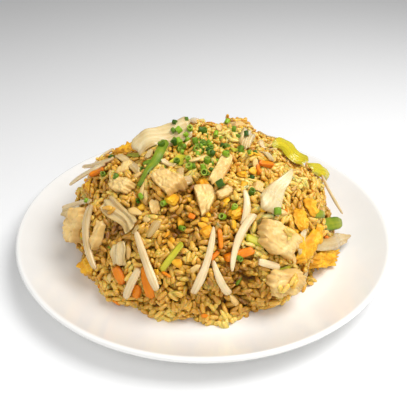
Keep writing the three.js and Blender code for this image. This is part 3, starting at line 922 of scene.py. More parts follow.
CABBAGE = SlabKind(
    "cabbage",
    Finish("wilted_cabbage", pale="ead8a8", deep="bc903a", edge="a88634", tone=0.9, blotch=(120.0, 1.6, 0.6),
           streak=(7.0, 0.25, 0.55), edge_share=0.5, roughness=(0.2, 0.38), coat=0.4, subsurface=0.4,
           depth=2.0, bump=0.08, glow=(1.0, 0.7, 0.42)),
    (
        Piece((-92, 56), (-146, 77), 13, 1.8, lift=(0.5, 0.5), lean=6, tone=0.3),
        Piece((76, 46), (32, 41), 9.5, 1.4, taper=0.75, lift=(2, 2.5), tone=0.08),
        Piece((-59, 36), (-36, 33), 9, 1.3, fold=0.6, tone=0.6),
        Piece((-39, 26), (-35, 18.5), 9, 1.3, fold=0.5, tone=0.55),
        Piece((-96, 46), (-60, 54), 4, 1.5, bow=1, tone=0.6),
        Piece((106, 67), (134, 55), 8, 1.5, fold=0.8, tone=0.4),
        Piece((56, 16), (81, 4), 8, 1.6, lift=(1, 9), pointed=0.3, tone=0.6),
        Piece((-84, 20), (-92, 8), 7, 1.4, lift=(2, 9), tone=0.35),
        Piece((124, 26), (144, 36), 14, 1.4, fold=0.6),
        Piece((-172, 20), (-160, 36), 14, 1.4, fold=1.4),
    ),
    grooves=(0.1, 2.4), ruffle=(0.45, 9.0), fray=0.08, square=8.0,
    extras=(
        Piece((54, 27), (43, 20), 5, 1.2, lift=(0.5, 1.0), tone=0.1),
        Piece((42, 6), (56, 5), 7, 1.3, lift=(0.5, 0.5), tone=0.2),
        Piece((-42, 68), (-58, 66), 3.4, 1.2, lift=(0.5, 0.5), tone=0.55),
        Piece((84, 60), (73, 56), 5, 1.2, lift=(0.5, 1.0), tone=0.4),
        Piece((-26, 58), (-12, 63), 4, 1.2, lift=(0.5, 1.0), tone=0.4),
        Piece((-80, 64), (-68, 61), 3, 1.2, lift=(0.5, 0.5), tone=0.5),
    ),
)
LEEK = SlabKind(
    "leek",
    Finish("cooked_leek", pale="dcc81e", deep="a89a0c", edge="8a8a18", blotch=(90.0, 1.8, 0.4),
           streak=(9.0, 0.2, 0.9), roughness=(0.16, 0.32), coat=0.5, subsurface=0.4, depth=2.0, bump=0.3),
    (
        Piece((103, 54), (96, 38), 10, 1.8, bow=5, arch=1, lift=(1, 2), lean=4),
        Piece((91, 37), (97, 25.5), 8, 1.8, arch=0.8, lift=(1, 5), lean=3),
    ),
    grooves=(0.2, 1.5), ruffle=(0.45, 8.0), fray=0.05, square=10.0,
)
ONION_GREEN = SlabKind(
    "onion_green",
    Finish("onion_leaf", pale="d2c636", deep="3c7410", edge="2c5408", tone=1.0, blotch=(140.0, 2.0, 0.35),
           streak=(8.0, 0.3, 0.2), edge_share=0.35, roughness=(0.3, 0.5), coat=0.1, subsurface=0.15,
           depth=1.0, shine=0.22, glow=(0.6, 0.9, 0.15)),
    (
        Piece((-98, 71), (-49, 49), 4, 0.9, bow=3, arch=0.6, lift=(3.5, 1), tone=0.75),
        Piece((69, 18), (90, 5.5), 7.5, 1.1, lift=(1, 8), pointed=0.75, tone=0.65),
        Piece((-17, 21), (-10, 32), 3, 0.8, tone=0.05),
        Piece((-97, 50), (-90, 57), 3.2, 0.8, tone=0.3),
        Piece((-52, 68), (-50, 77), 5, 0.9, taper=0.4, tone=0.05),
        Piece((-142, 40), (-122, 30), 4, 0.9, arch=0.6),
    ),
    steps=(56, 16), grooves=(0.06, 1.1), ruffle=(0.2, 7.0), fray=0.02, square=8.0,
    extras=(
        Piece((21, 33), (27, 29), 4, 0.9, arch=0.5, tone=0.1),
        Piece((62, 28), (70, 23), 4, 0.9, arch=0.5, tone=0.55),
        Piece((31, 17), (37, 16), 3, 0.8, tone=0.2),
        Piece((72, 75), (86, 71), 4, 0.9, arch=0.5, tone=0.2),
        Piece((-44, 73), (-34, 70), 3, 0.8, tone=0.1),
        Piece((-62, 62), (-66, 58), 2.6, 0.8, tone=0.8),
    ),
)
CARROT = SlabKind(
    "carrot",
    Finish("cooked_carrot", pale="f0900e", deep="dc6804", edge="b85206", blotch=(220.0, 1.8, 0.5),
           streak=(6.0, 0.5, 0.4), roughness=(0.35, 0.5), coat=0.1, subsurface=0.15, depth=1.0, shine=0.25),
    (
        Piece((-94, 34), (-86, 38), 3.4, 2.2, bow=2, lift=(1, 0)),
        Piece((-98, 22), (-86, 31), 3.2, 2.2),
        Piece((62, 60), (71, 54), 3, 2),
        Piece((-37, 17), (-32, 12), 5.5, 2.2),
        Piece((-24, 22), (-20, 9), 6.5, 2.2),
        Piece((8, 38), (8, 30), 2.6, 2),
        Piece((9, 26), (22, 28), 4.4, 2.2),
        Piece((172, 44), (-176, 34), 4.4, 2.2),
    ),
    stiff=True, steps=(36, 16), rough=(0.14, 3.0), grooves=(0.1, 1.4), fray=0.03, rim=0.15,
    extras=(
        Piece((-26, 13), (-27, 7), 4.5, 2, tone=0.6),
        Piece((-9, 44), (-5, 43), 3, 1.6, tone=0.9),
        Piece((7, 29), (3, 26), 2.4, 1.8, tone=0.8),
        Piece((55, 56), (60, 60), 2, 1.5, tone=0.5),
        Piece((-84, 35), (-80, 42), 3.2, 1.8, bow=2, lift=(3.5, 3), tone=0.4),
        Piece((22, 43), (27, 45), 2.6, 1.6, tone=0.3),
        Piece((64, 16), (68, 10), 2.4, 1.6, tone=0.6),
    ),
)
SPROUT = StrandKind(
    "sprout",
    Finish("bean_sprout", pale="f2dcae", deep="b8944c", edge="a07434", blotch=(150.0, 1.6, 0.4),
           streak=(9.0, 0.25, 0.8), edge_share=0.7, roughness=(0.2, 0.38), coat=0.35, subsurface=0.45,
           depth=1.8, bump=0.09, glow=(1.0, 0.7, 0.42)),
    (
        Piece((5, 39), (-4, 14), thick=3.6, bow=2, taper=0.3, tone=0.3),
        Piece((4, 26), (10, 12), thick=3.6, bow=-1, taper=0.3, tone=0.2),
        Piece((-31, 33), (-16, 16), thick=3.8, bow=-2, lift=(0, 4), taper=0.15, tone=0.7),
        Piece((28, 52), (21, 38), thick=3.4, bow=1, taper=0.35, tone=0.0),
        Piece((27, 41), (11, 22), thick=3.6, bow=-3, lift=(2, 3), taper=-0.25, tone=0.15),
        Piece((-26, 20), (-30, 7), thick=4.2),
        Piece((22, 24), (31, 19), thick=3.8, tone=0.1),
        Piece((-86, 47), (-99, 29), thick=3.2, lift=(0, 6), bow=2, tone=0.8),
        Piece((-84, 43), (-93, 22), thick=3.2, lift=(0, 10)),
        Piece((-68, 31), (-86, 15), thick=2.6, lift=(2, 10), bow=-2),
        Piece((90, 31), (89, 10), thick=2.6, lift=(2, 8), bow=2),
        Piece((-59, 33), (-46, 12), thick=4.6, bow=-7, tone=1.0),
        Piece((-172, 58), (-178, 40), thick=3.6, bow=3),
        Piece((128, 22), (148, 12), thick=3.6, bow=-2),
        Piece((-118, 34), (-108, 12), thick=3.6, bow=2),
    ),
)
KINDS = (CHICKEN, EGG, CABBAGE, LEEK, ONION_GREEN, CARROT, SPROUT)


class Bed:
    """The heap's surface as it fills up: a map of heights, one for each small patch of ways.

    The map is the upper half of the sphere of ways, flattened so that every cell has the same share of it.
    Its values are heights above the bare dome in millimetres: the bed's own, the limit that grains may rise
    to, the top of the highest topping (floor) and the underside of the lowest (roof).
    """

    below = -0.08  # the z of the lowest ways that belong to the heap
    reach = 1.47  # from the flattened map's middle to its sides, so that those lowest ways are just on it
    bank_radius = 3.4  # how far rice banks up beside a topping that lies in it
    bank_share = 1.15  # how much of that topping's height it banks up to
    far = 160.0  # from the middle to where the rays that look down start
    inner = 15.0  # from the dome down to where the rays that look up start

    def __init__(self, toppings: list[bpy.types.Object], cells: int = 330, depth: float = 3.4) -> None:
        """Finds what lies over each cell, and starts the bed at a depth under the rice's clods."""
        self.cells_across = cells
        half = self.reach
        side = (np.arange(cells) + 0.5) / cells * 2 * half - half
        u, v = (part.ravel() for part in np.meshgrid(side, side, indexing="ij"))
        z = 1 - (u * u + v * v) / 2
        out = np.sqrt(np.clip((1 + z) / 2, 0, 1))
        self.ways = unit(np.stack([u * out, v * out, z], axis=-1))
        self.inside = z > self.below
        self.lumps = FORM.lumps(self.ways)
        rice = FORM.clumped(self.ways)
        self.height = rice - depth
        self.toppings = toppings
        self.floor, self.roof, self.over = self._look(toppings)

        # Rice may rise a little above the clods, and beside a topping that lies in it up to that one's top.
        sunk = self.roof < self.lumps + 3
        bank = self._spread(np.where(sunk, np.clip(self.floor - self.lumps, 0, 6), 0), self.bank_radius)
        bank = bank * self.bank_share
        self.limit = np.where(bank > 0.4, np.maximum(rice, self.lumps + bank), rice) + 0.5

    def _look(self, toppings: list[bpy.types.Object]) -> tuple[Array, Array, Array]:
        """For each cell, the top and the number of the highest topping, and the underside of the lowest."""
        points: list[Vector] = []
        faces: list[list[int]] = []
        owners: list[int] = []
        for number, piece in enumerate(toppings):
            start = len(points)
            points += [vertex.co / MM for vertex in piece.data.vertices]
            faces += [[start + corner for corner in face.vertices] for face in piece.data.polygons]
            owners += [number] * len(piece.data.polygons)
        tree = BVHTree.FromPolygons(points, faces)
        middle = Vector(WELL_TOP * UP)
        domes = FORM.dome(self.ways)
        floor = np.full(len(self.ways), -np.inf)
        roof = np.full(len(self.ways), np.inf)
        over = np.full(len(self.ways), -1)
        for cell in np.flatnonzero(self.inside):
            way = Vector(self.ways[cell])
            _, _, face, down = tree.ray_cast(middle + self.far * way, -way)
            if down is not None:
                floor[cell] = self.far - down - domes[cell]
                over[cell] = owners[face]
                up = tree.ray_cast(middle + way * (domes[cell] - self.inner), way)[3]
                roof[cell] = floor[cell] if up is None else up - self.inner
        return floor, roof, over

    def under(self, *names: str) -> Array:
        """The ways of the cells that a topping of one of the names lies over, away from its rim."""
        # A cell with no topping has the number -1, which finds the False at the end.
        wanted = np.array([piece.name.startswith(names) for piece in self.toppings] + [False])
        return self.ways[self._spread(wanted[self.over].astype(float), 1.6) > 0.93]

    def _spread(self, values: Array, radius: float) -> Array:
        """Blurs a map by a bell curve of a radius in millimetres."""
        cell = 2 * self.reach * FORM.mean_radius / self.cells_across
        steps = np.arange(-int(3 * radius / cell), int(3 * radius / cell) + 1)
        bell = np.exp(-0.5 * (steps * cell / radius) ** 2)
        grid = values.reshape(self.cells_across, -1)
        for axis in (0, 1):
            grid = sum(w * np.roll(grid, int(step), axis) for w, step in zip(bell / bell.sum(), steps))
        return grid.ravel()

    def cells(self, ways: Array) -> Array:
        """The cell of each way."""
        scale = np.sqrt(2 / (1 + np.clip(ways[..., 2], -0.6, 1)))
        spots = (ways[..., :2] * scale[..., None] + self.reach) / (2 * self.reach) * self.cells_across
        spots = np.clip(spots.astype(int), 0, self.cells_across - 1)
        return spots[..., 0] * self.cells_across + spots[..., 1]

    def cover(self) -> None:
        """Lets what follows lie on the toppings too."""
        covered = np.isfinite(self.floor)
        self.height = np.where(covered, np.maximum(self.height, self.floor), self.height)
        self.limit = np.full_like(self.limit, np.inf)
        self.roof = np.full_like(self.roof, np.inf)

    def heap_up(self, way: Array, radius: float, top: float) -> None:
        """Raises the bed to a height in a round patch about a way, for what has been set down there."""
        patch = self.ways @ way > np.cos(radius / FORM.mean_radius)
        self.height[patch] = np.maximum(self.height[patch], top)

    def lay(
        self, ways: Array, turn: Array, size: Array, tilt: Array, settle: float = 0.66, above: float = 0.0
    ) -> "Laid":
        """Lays things down one after the other, each on what is already there.

        Each rests on the highest spot under it, at the slope of what it lies on. One that would stand above
        the heap's limit or touch a topping is left out.

        Args:
            ways: Where each is laid, in the order they fall.
            turn: Its direction round the normal, in radians.
            size: Its length, width and thickness.
            tilt: A slope of its own, on top of that of its bed.
            settle: How much of its thickness it sinks in.
            above: How far it may stand above the heap's limit.

        Returns:
            Those that stay.
        """
        normal = FORM.normal(ways)
        side = unit(np.cross(UP, normal))
        rise = np.cross(normal, side)
        along = np.cos(turn)[:, None] * side + np.sin(turn)[:, None] * rise
        across = np.cross(normal, along)

        # Each thing is felt for at spots under it, at shares of half its length and half its width.
        grid = np.meshgrid(np.linspace(-0.92, 0.92, 7), (-0.7, 0, 0.7), indexing="ij")
        s, t = (part.ravel() for part in grid)
        half = size / 2
        start = ways * (FORM.dome(ways) + FORM.lumps(ways))[:, None]
        spots = start[:, None] + along[:, None] * (s * half[:, :1])[..., None]
        spots = spots + across[:, None] * (t * half[:, 1:2])[..., None]
        reach = np.linalg.norm(spots, axis=-1)
        spot_ways = spots / reach[..., None]
        level = reach - FORM.dome(spot_ways) - FORM.lumps(ways)[:, None]
        cells = self.cells(spot_ways)
        plump = half[:, 2:] * np.sqrt((1 - 0.8 * s * s) * (1 - 0.6 * t * t))
        weight = s / (s @ s)  # gives the slope of the line that fits the bed best
        here = self.cells(ways)

        steepest = 0.7
        kept, heights, slopes, tops = [], [], [], []
        for number in range(len(ways)):
            under = cells[number]
            bed = self.height[under] - level[number]
            slope = np.clip(bed @ weight / half[number, 0], -steepest, steepest) + tilt[number]
            line = slope * s * half[number, 0]
            middle = np.max(bed - line + plump[number]) - settle * size[number, 2]
            top = middle + line + plump[number] + level[number]
            if middle > self.limit[here[number]] + above or np.any(top > self.roof[under]):
                continue
            self.height[under] = np.maximum(self.height[under], top)
            kept.append(number)
            heights.append(middle)
            slopes.append(slope)
            tops.append(top)
        kept, slopes = np.array(kept), np.array(slopes)[:, None]
        points = FORM.point(ways[kept], np.array(heights))
        points[:, 2] = np.maximum(points[:, 2], WELL_TOP + half[kept, 2])
        ahead = unit(along[kept] + slopes * normal[kept])
        turns = np.stack([ahead, across[kept], np.cross(ahead, across[kept])], axis=-1)
        return Laid(points, turns, size[kept], ways[kept], cells[kept], np.array(tops))


# ---------- Loose things ----------


@dataclass
class Laid:
    """Things at rest: middles, turning matrices, sizes, ways, the cells under each and its tops there."""

    places: Array
    turns: Array
    sizes: Array
    ways: Array
    cells: Array
    tops: Array

    def only(self, chosen: Array) -> "Laid":
        """The chosen ones."""
        return Laid(*(getattr(self, part.name)[chosen] for part in fields(self)))

    def seen(self, bed: Bed, cover: float = 0.9) -> "Laid":
        """Those that nothing laid later hides under more than a cover."""
        return self.only(np.any(self.tops > bed.height[self.cells] - cover, axis=1))

    @staticmethod
    def joined(parts: "list[Laid]") -> "Laid":
        """Several lots as one."""
        lots = ([getattr(part, each.name) for part in parts] for each in fields(Laid))
        return Laid(*(np.concatenate(lot) for lot in lots))


@dataclass(frozen=True)
class Morsel:
    """The shapes of one kind of small loose thing, all variants of a plump rod.

    Each size is a range from least to most. bend is how far the middle goes aside, blunt how full the ends
    are, knobbly how uneven the surface is, and shapes how many different ones there are.
    """

    length: Pair
    width: Pair
    thick: Pair
    bend: float = 0.3
    blunt: float = 2.4
    knobbly: float = 0.03
    sides: int = 8
    rows: int = 5
    shapes: int = 10

    def sizes(self, count: int, draw: np.random.Generator) -> Array:
        """The length, width and thickness of each of a number of things."""
        low, high = np.array([self.length, self.width, self.thick]).T
        return low + (high - low) * draw.random((count, 3))

    def templates(self, seed: int) -> tuple[Array, Array, list[Array]]:
        """The shapes at half a unit each way.

        Returns:
            The points of every shape, how near each point is to a tip, and the faces that all shapes share.
        """
        share, turn, faces = rod(self.sides, self.rows)
        full = (1 - np.abs(share) ** self.blunt) ** 0.5
        shapes = []
        for number in range(self.shapes):
            draw = chance(number * 3.0 + np.arange(3) + seed)
            thin = 1 + 0.7 * (draw[0] - 0.5) * share
            curve = self.bend * (draw[1] - 0.3) * (share**2 - 0.4)
            rise = 0.6 * self.bend * (draw[2] - 0.5) * (share**2 - 0.4)
            place = np.stack([share, full * np.cos(turn), full * np.sin(turn)], axis=-1)
            bumpy = 1 + self.knobbly * ripples(place, 1.9, seed + number)
            shapes.append(np.stack([
                share / 2 * bumpy,
                (full * thin * bumpy * np.cos(turn) + curve) / 2,
                (full * thin * bumpy * np.sin(turn) + rise) / 2,
            ], axis=-1))
        return np.array(shapes), np.abs(share) ** 3, faces

    def mesh(self, name: str, laid: Laid, tone: Array, seed: int) -> bpy.types.Object:
        """Joins things of this kind, where they were laid, into one mesh."""
        shapes, tips, faces = self.templates(seed)
        count = len(laid.places)
        kind = (chance(np.arange(count) + 0.37 * seed) * self.shapes).astype(int)
        local = shapes[kind] * laid.sizes[:, None]
        points = np.einsum("nij,nvj->nvi", laid.turns, local) + laid.places[:, None]
        offset = np.arange(count)[:, None, None] * shapes.shape[1]
        parts = [(face[None] + offset).reshape(-1, face.shape[1]) for face in faces]
        spot = np.concatenate([local[..., :1], local[..., 1:2] + local[..., 2:]], axis=-1).reshape(-1, 2) / 10
        layers = {"tone": np.repeat(tone, shapes.shape[1]), "edge": np.tile(tips, count), "UVMap": spot}
        return make_object(name, points.reshape(-1, 3), parts, **layers)


def scattered(count: int, draw: np.random.Generator, gap: float = 1.2) -> Array:
    """Ways spread evenly over the heap and then moved by about a gap in millimetres, in random order."""
    # The first half of a whole sphere's ways is the upper one, and a few more lie just below it.
    ways = spiral_ways(2 * count)[: int(count * 1.04)]
    ways = unit(ways + draw.normal(0, gap / FORM.mean_radius, ways.shape))
    return draw.permutation(ways)


@dataclass(frozen=True)
class Bits:
    """One kind of small bits among the grains: their shape, how many fall and where they gather.

    Each gathering is a bearing, a climb and a spread in millimetres. A share of the bits falls there, the
    rest anywhere. kind is the topping that they are bits of, whose finish they have.
    """

    kind: SlabKind
    shape: Morsel
    count: int
    gatherings: tuple[tuple[float, float, float], ...] = ()
    share: float = 0.5
    tones: Pair = (0.2, 0.8)

    def fall(self, bed: Bed, seed: int) -> Laid:
        """Lays the bits on the bed."""
        draw = np.random.default_rng(seed)
        ways = scattered(self.count, draw, gap=6.0)[: self.count]
        if self.gatherings:
            pick = np.array(self.gatherings)[draw.integers(len(self.gatherings), size=self.count)]
            astray = draw.normal(0, 1, (self.count, 3)) * pick[:, 2:] / FORM.mean_radius
            near = way_to(pick[:, 0], pick[:, 1]) + astray
            ways = np.where(draw.random((self.count, 1)) < self.share, unit(near), ways)
        ways = ways[ways[:, 2] > 0.02]
        sizes = self.shape.sizes(len(ways), draw)
        turn = 2 * np.pi * draw.random(len(ways))
        return bed.lay(ways, turn, sizes, draw.normal(0, 0.2, len(ways)), settle=0.75, above=1.3)

    def build(self, laid: Laid, seed: int) -> bpy.types.Object:
        """Makes one piece of the bits that are laid."""
        low, high = self.tones
        tone = low + (high - low) * chance(np.arange(len(laid.places)) + seed)
        piece = self.shape.mesh(f"{self.kind.name}_bits", laid, tone, seed)
        log.info("%s bits: %d", self.kind.name, len(laid.places))
        return dress(piece, self.kind.finish.make(), self.kind.name, "rice_heap")


BITS = (
    Bits(
        CHICKEN, Morsel((5, 11), (2.2, 4.4), (1.4, 2.6), bend=0.4, blunt=3.2, knobbly=0.17, sides=12, rows=8),
        240, ((20, 30, 14), (-50, 38, 14), (50, 45, 12), (-20, 50, 12)), 0.5, (0.3, 1.0),
    ),
    Bits(
        EGG, Morsel((2.6, 6.5), (2, 4.6), (1.2, 2.4), bend=0.5, blunt=2.5, knobbly=0.22, sides=12, rows=8),
        150, ((52, 24, 11), (62, 10, 9), (14, 44, 8), (-60, 8, 9), (45, 58, 9), (-15, 40, 16)), 0.75,
    ),
    Bits(
        CABBAGE,
        Morsel((5, 12), (2.6, 5.4), (0.7, 1.1), bend=0.35, blunt=6.0, knobbly=0.13, sides=12, rows=8),
        200, ((50, 22, 10), (-20, 24, 14), (-45, 45, 16), (45, 60, 12)), 0.5, (0.35, 1.0),
    ),
    Bits(
        CARROT, Morsel((3, 7.5), (1.4, 2.4), (1.2, 1.8), blunt=4.0, knobbly=0.04),
        42, ((-30, 14, 8), (60, 55, 8), (12, 28, 8)), 0.4,
    ),
    Bits(
        ONION_GREEN, Morsel((2.6, 6.5), (1.4, 2.6), (0.7, 1.1), blunt=4.0, knobbly=0.03),
        60, ((0, 80, 16), (-60, 55, 14), (60, 30, 14)), 0.5, (0.2, 1.0),
    ),
)


@dataclass
class RiceHeap:
    """The core of the heap, and the loose grains that hide it.

    rounds are how many grains fall in each round, and core_depth is how far the core lies under the clods.
    Each patch of fried is a bearing, a climb, a reach in millimetres and how much darker the grains are
    there:
    partly browner fry, and partly painted shade over the hollows and painted light where the heap is lit.
    """

    grain: Morsel = Morsel(
        (5.5, 7.1), (2.5, 3.05), (2.05, 2.5), bend=0.4, blunt=3.3, knobbly=0.035, sides=8, rows=6
    )
    rounds: tuple[int, ...] = (8000, 8000, 7000, 2400)
    core_depth: float = 2.4
    # Patches of browner fry that also paint the shade over hollows, and paler ones that paint light where the
    # heap is lit.
    fried: tuple[tuple[float, float, float, float], ...] = (
        (-10, 37, 15, 0.18), (-46, 30, 12, 0.18), (10, 18, 12, 0.22), (-12, 16, 9, 0.16),
        (-24, 54, 9, 0.18), (62, 34, 11, 0.14), (40, 52, 17, -0.16), (-52, 60, 15, -0.14),
        (-70, 12, 12, -0.2), (-24, 27, 7, -0.2), (30, 30, 9, -0.16), (58, 46, 12, -0.12),
    )
    finish: GrainFinish = field(default_factory=GrainFinish)

    def core(self) -> bpy.types.Object:
        """The bare heap under the grains: a lattice of bearing and climb, closed at crown and foot."""
        bearings, climbs = np.linspace(0, 360, 481)[:-1], np.linspace(-3, 89, 165)
        bearing, climb = np.meshgrid(bearings, climbs, indexing="ij")
        ways = way_to(bearing.ravel(), climb.ravel())
        height = FORM.clumped(ways) - self.core_depth + 0.45 * ripples(ways * FORM.mean_radius, 3.6, 3)
        points = FORM.point(ways, height)
        points[:, 2] = np.maximum(points[:, 2], WELL_TOP + 0.05)
        grid = np.arange(bearing.size).reshape(bearing.shape)
        after = np.roll(grid, -1, axis=0)
        quads = np.stack([grid[:, :-1], after[:, :-1], after[:, 1:], grid[:, 1:]], axis=-1).reshape(-1, 4)
        crown = FORM.point(UP[None], FORM.lumps(UP[None]) - self.core_depth)
        points = np.concatenate([points, crown, [WELL_TOP * UP + 0.05 * UP]])
        count = len(bearing)
        caps = np.concatenate([
            np.stack([grid[:, -1], after[:, -1], np.full(count, len(points) - 2)], axis=-1),
            np.stack([after[:, 0], grid[:, 0], np.full(count, len(points) - 1)], axis=-1),
        ])
        # The edge layer here is nearness to a clod's furrow, where the core's material paints shadow near
        # black.
        edge = np.append(np.exp(-FORM.clods(ways)[1] / 1.8), [0, 0])
        return make_object("rice_core", points, [quads, caps], tone=0 * edge, edge=edge)

    def shade(self) -> bpy.types.Material:
        """Painted shade for what shows between the grains: a dark golden brown below the grains' colours, and
        near black along the clods' furrows as painted shadow.
        """
        material, graph, shader = new_material("rice_depths")
        spots = blotches(graph, graph.add("TexCoord").outputs["Object"], 300.0, 2.5)
        # A dark golden brown, darker than the grains: painted shade between them.
        body = graph.blend(spots, colour("c28c2c"), colour("8e5c14"))
        graph.feed(shader, {
            # Near black where the core nears a clod's furrow: painted shadow.
            "Base Color": graph.blend(graph.attribute("edge"), body, colour("3c2004")),
            "Roughness": 0.6,
            "Specular IOR Level": 0.25,
            "Subsurface Weight": 0.4,
            "Subsurface Radius": (1.0, 0.6, 0.3),
            "Subsurface Scale": 1.5 * MM,
        })
        return material

    def fall(self, bed: Bed, count: int, seed: int, above: float = 0.0) -> Laid:
        """Lets a round of grains fall. Half of those in a clod lie its way, lapping, and a few stand up."""
        draw = np.random.default_rng(seed)
        ways = scattered(count, draw)
        sizes = self.grain.sizes(len(ways), draw)
        clod, _ = FORM.clods(ways)
        turn = 2 * np.pi * chance(1.9 * clod) + draw.normal(0, 0.7, len(ways))
        astray = draw.random(len(ways)) < 0.5
        turn = np.where(astray, 2 * np.pi * draw.random(len(ways)), turn)
        lean = draw.normal(0.16, 0.2, len(ways))
        upright = draw.random(len(ways)) < 0.12
        lean = lean + np.where(upright, draw.normal(0, 0.7, len(ways)), 0)
        return bed.lay(ways, turn, sizes, lean, above=above)

    def stick(self, bed: Bed, count: int, seed: int) -> Laid:
        """Drops a few grains on the chicken and on the cabbage that is tucked into the rice."""
        draw = np.random.default_rng(seed)
        spots = bed.under("chicken_piece_4", "chicken_piece_5", "chicken_piece_9", "cabbage_piece_3")
        ways = draw.choice(spots, count)
        sizes = self.grain.sizes(count, draw)
        return bed.lay(ways, 2 * np.pi * draw.random(count), sizes, draw.normal(0, 0.1, count), settle=0.4)

    def tones(self, laid: Laid) -> Array:
        """How dark each grain is: by fry in patches, by its clod and by chance, a little darker towards the
        left, with painted shade in furrows and hollows, and patches of fry, painted shade and painted light.
        """
        clod, edge = FORM.clods(laid.ways)
        patch = 0.5 + 0.25 * ripples(laid.places, 34.0, 21)
        lot = chance(5.3 * clod)
        draw = np.random.default_rng(8).random(len(laid.ways))
        # Painted shade: grains near a clod's furrow and in the heap's hollows get darker tones.
        furrow = np.exp(-edge / 2.5)
        hollow = np.clip(-FORM.lumps(laid.ways) / 6, 0, 1)
        # The grains get a little darker towards the left.
        side = np.clip(laid.places[:, 0] / 80, -1, 1)
        tone = 0.25 * patch + 0.34 * lot + 0.2 * draw + 0.2 * furrow + 0.26 * hollow - 0.05 * side
        # Patches that darken or pale the grains: partly fry, partly painted shade and painted light.
        for bearing, climb, reach, more in self.fried:
            away = np.arccos(np.clip(laid.ways @ way_to(bearing, climb), -1, 1)) * FORM.mean_radius
            tone = tone + more * np.exp(-((away / reach) ** 2))
        return np.clip(tone, 0.02, 0.98)

    def build(self, laid: Laid) -> None:
        """Builds the core and one piece for each range of grain tone, which carries fry and painted shade."""
        material = self.finish.make()
        dress(self.core(), self.shade(), "rice", "rice_heap")
        tone = self.tones(laid)
        for number, toning in enumerate(Toning):
            chosen = (tone >= toning.value[0]) & (tone < toning.value[1])
            name = f"rice_grains_{toning.name.lower()}"
            piece = self.grain.mesh(name, laid.only(chosen), tone[chosen], 600 + number)
            dress(piece, material, "rice", "rice_heap")
            log.info("%s: %d grains", name, chosen.sum())


# ---------- Spring onion rings ----------


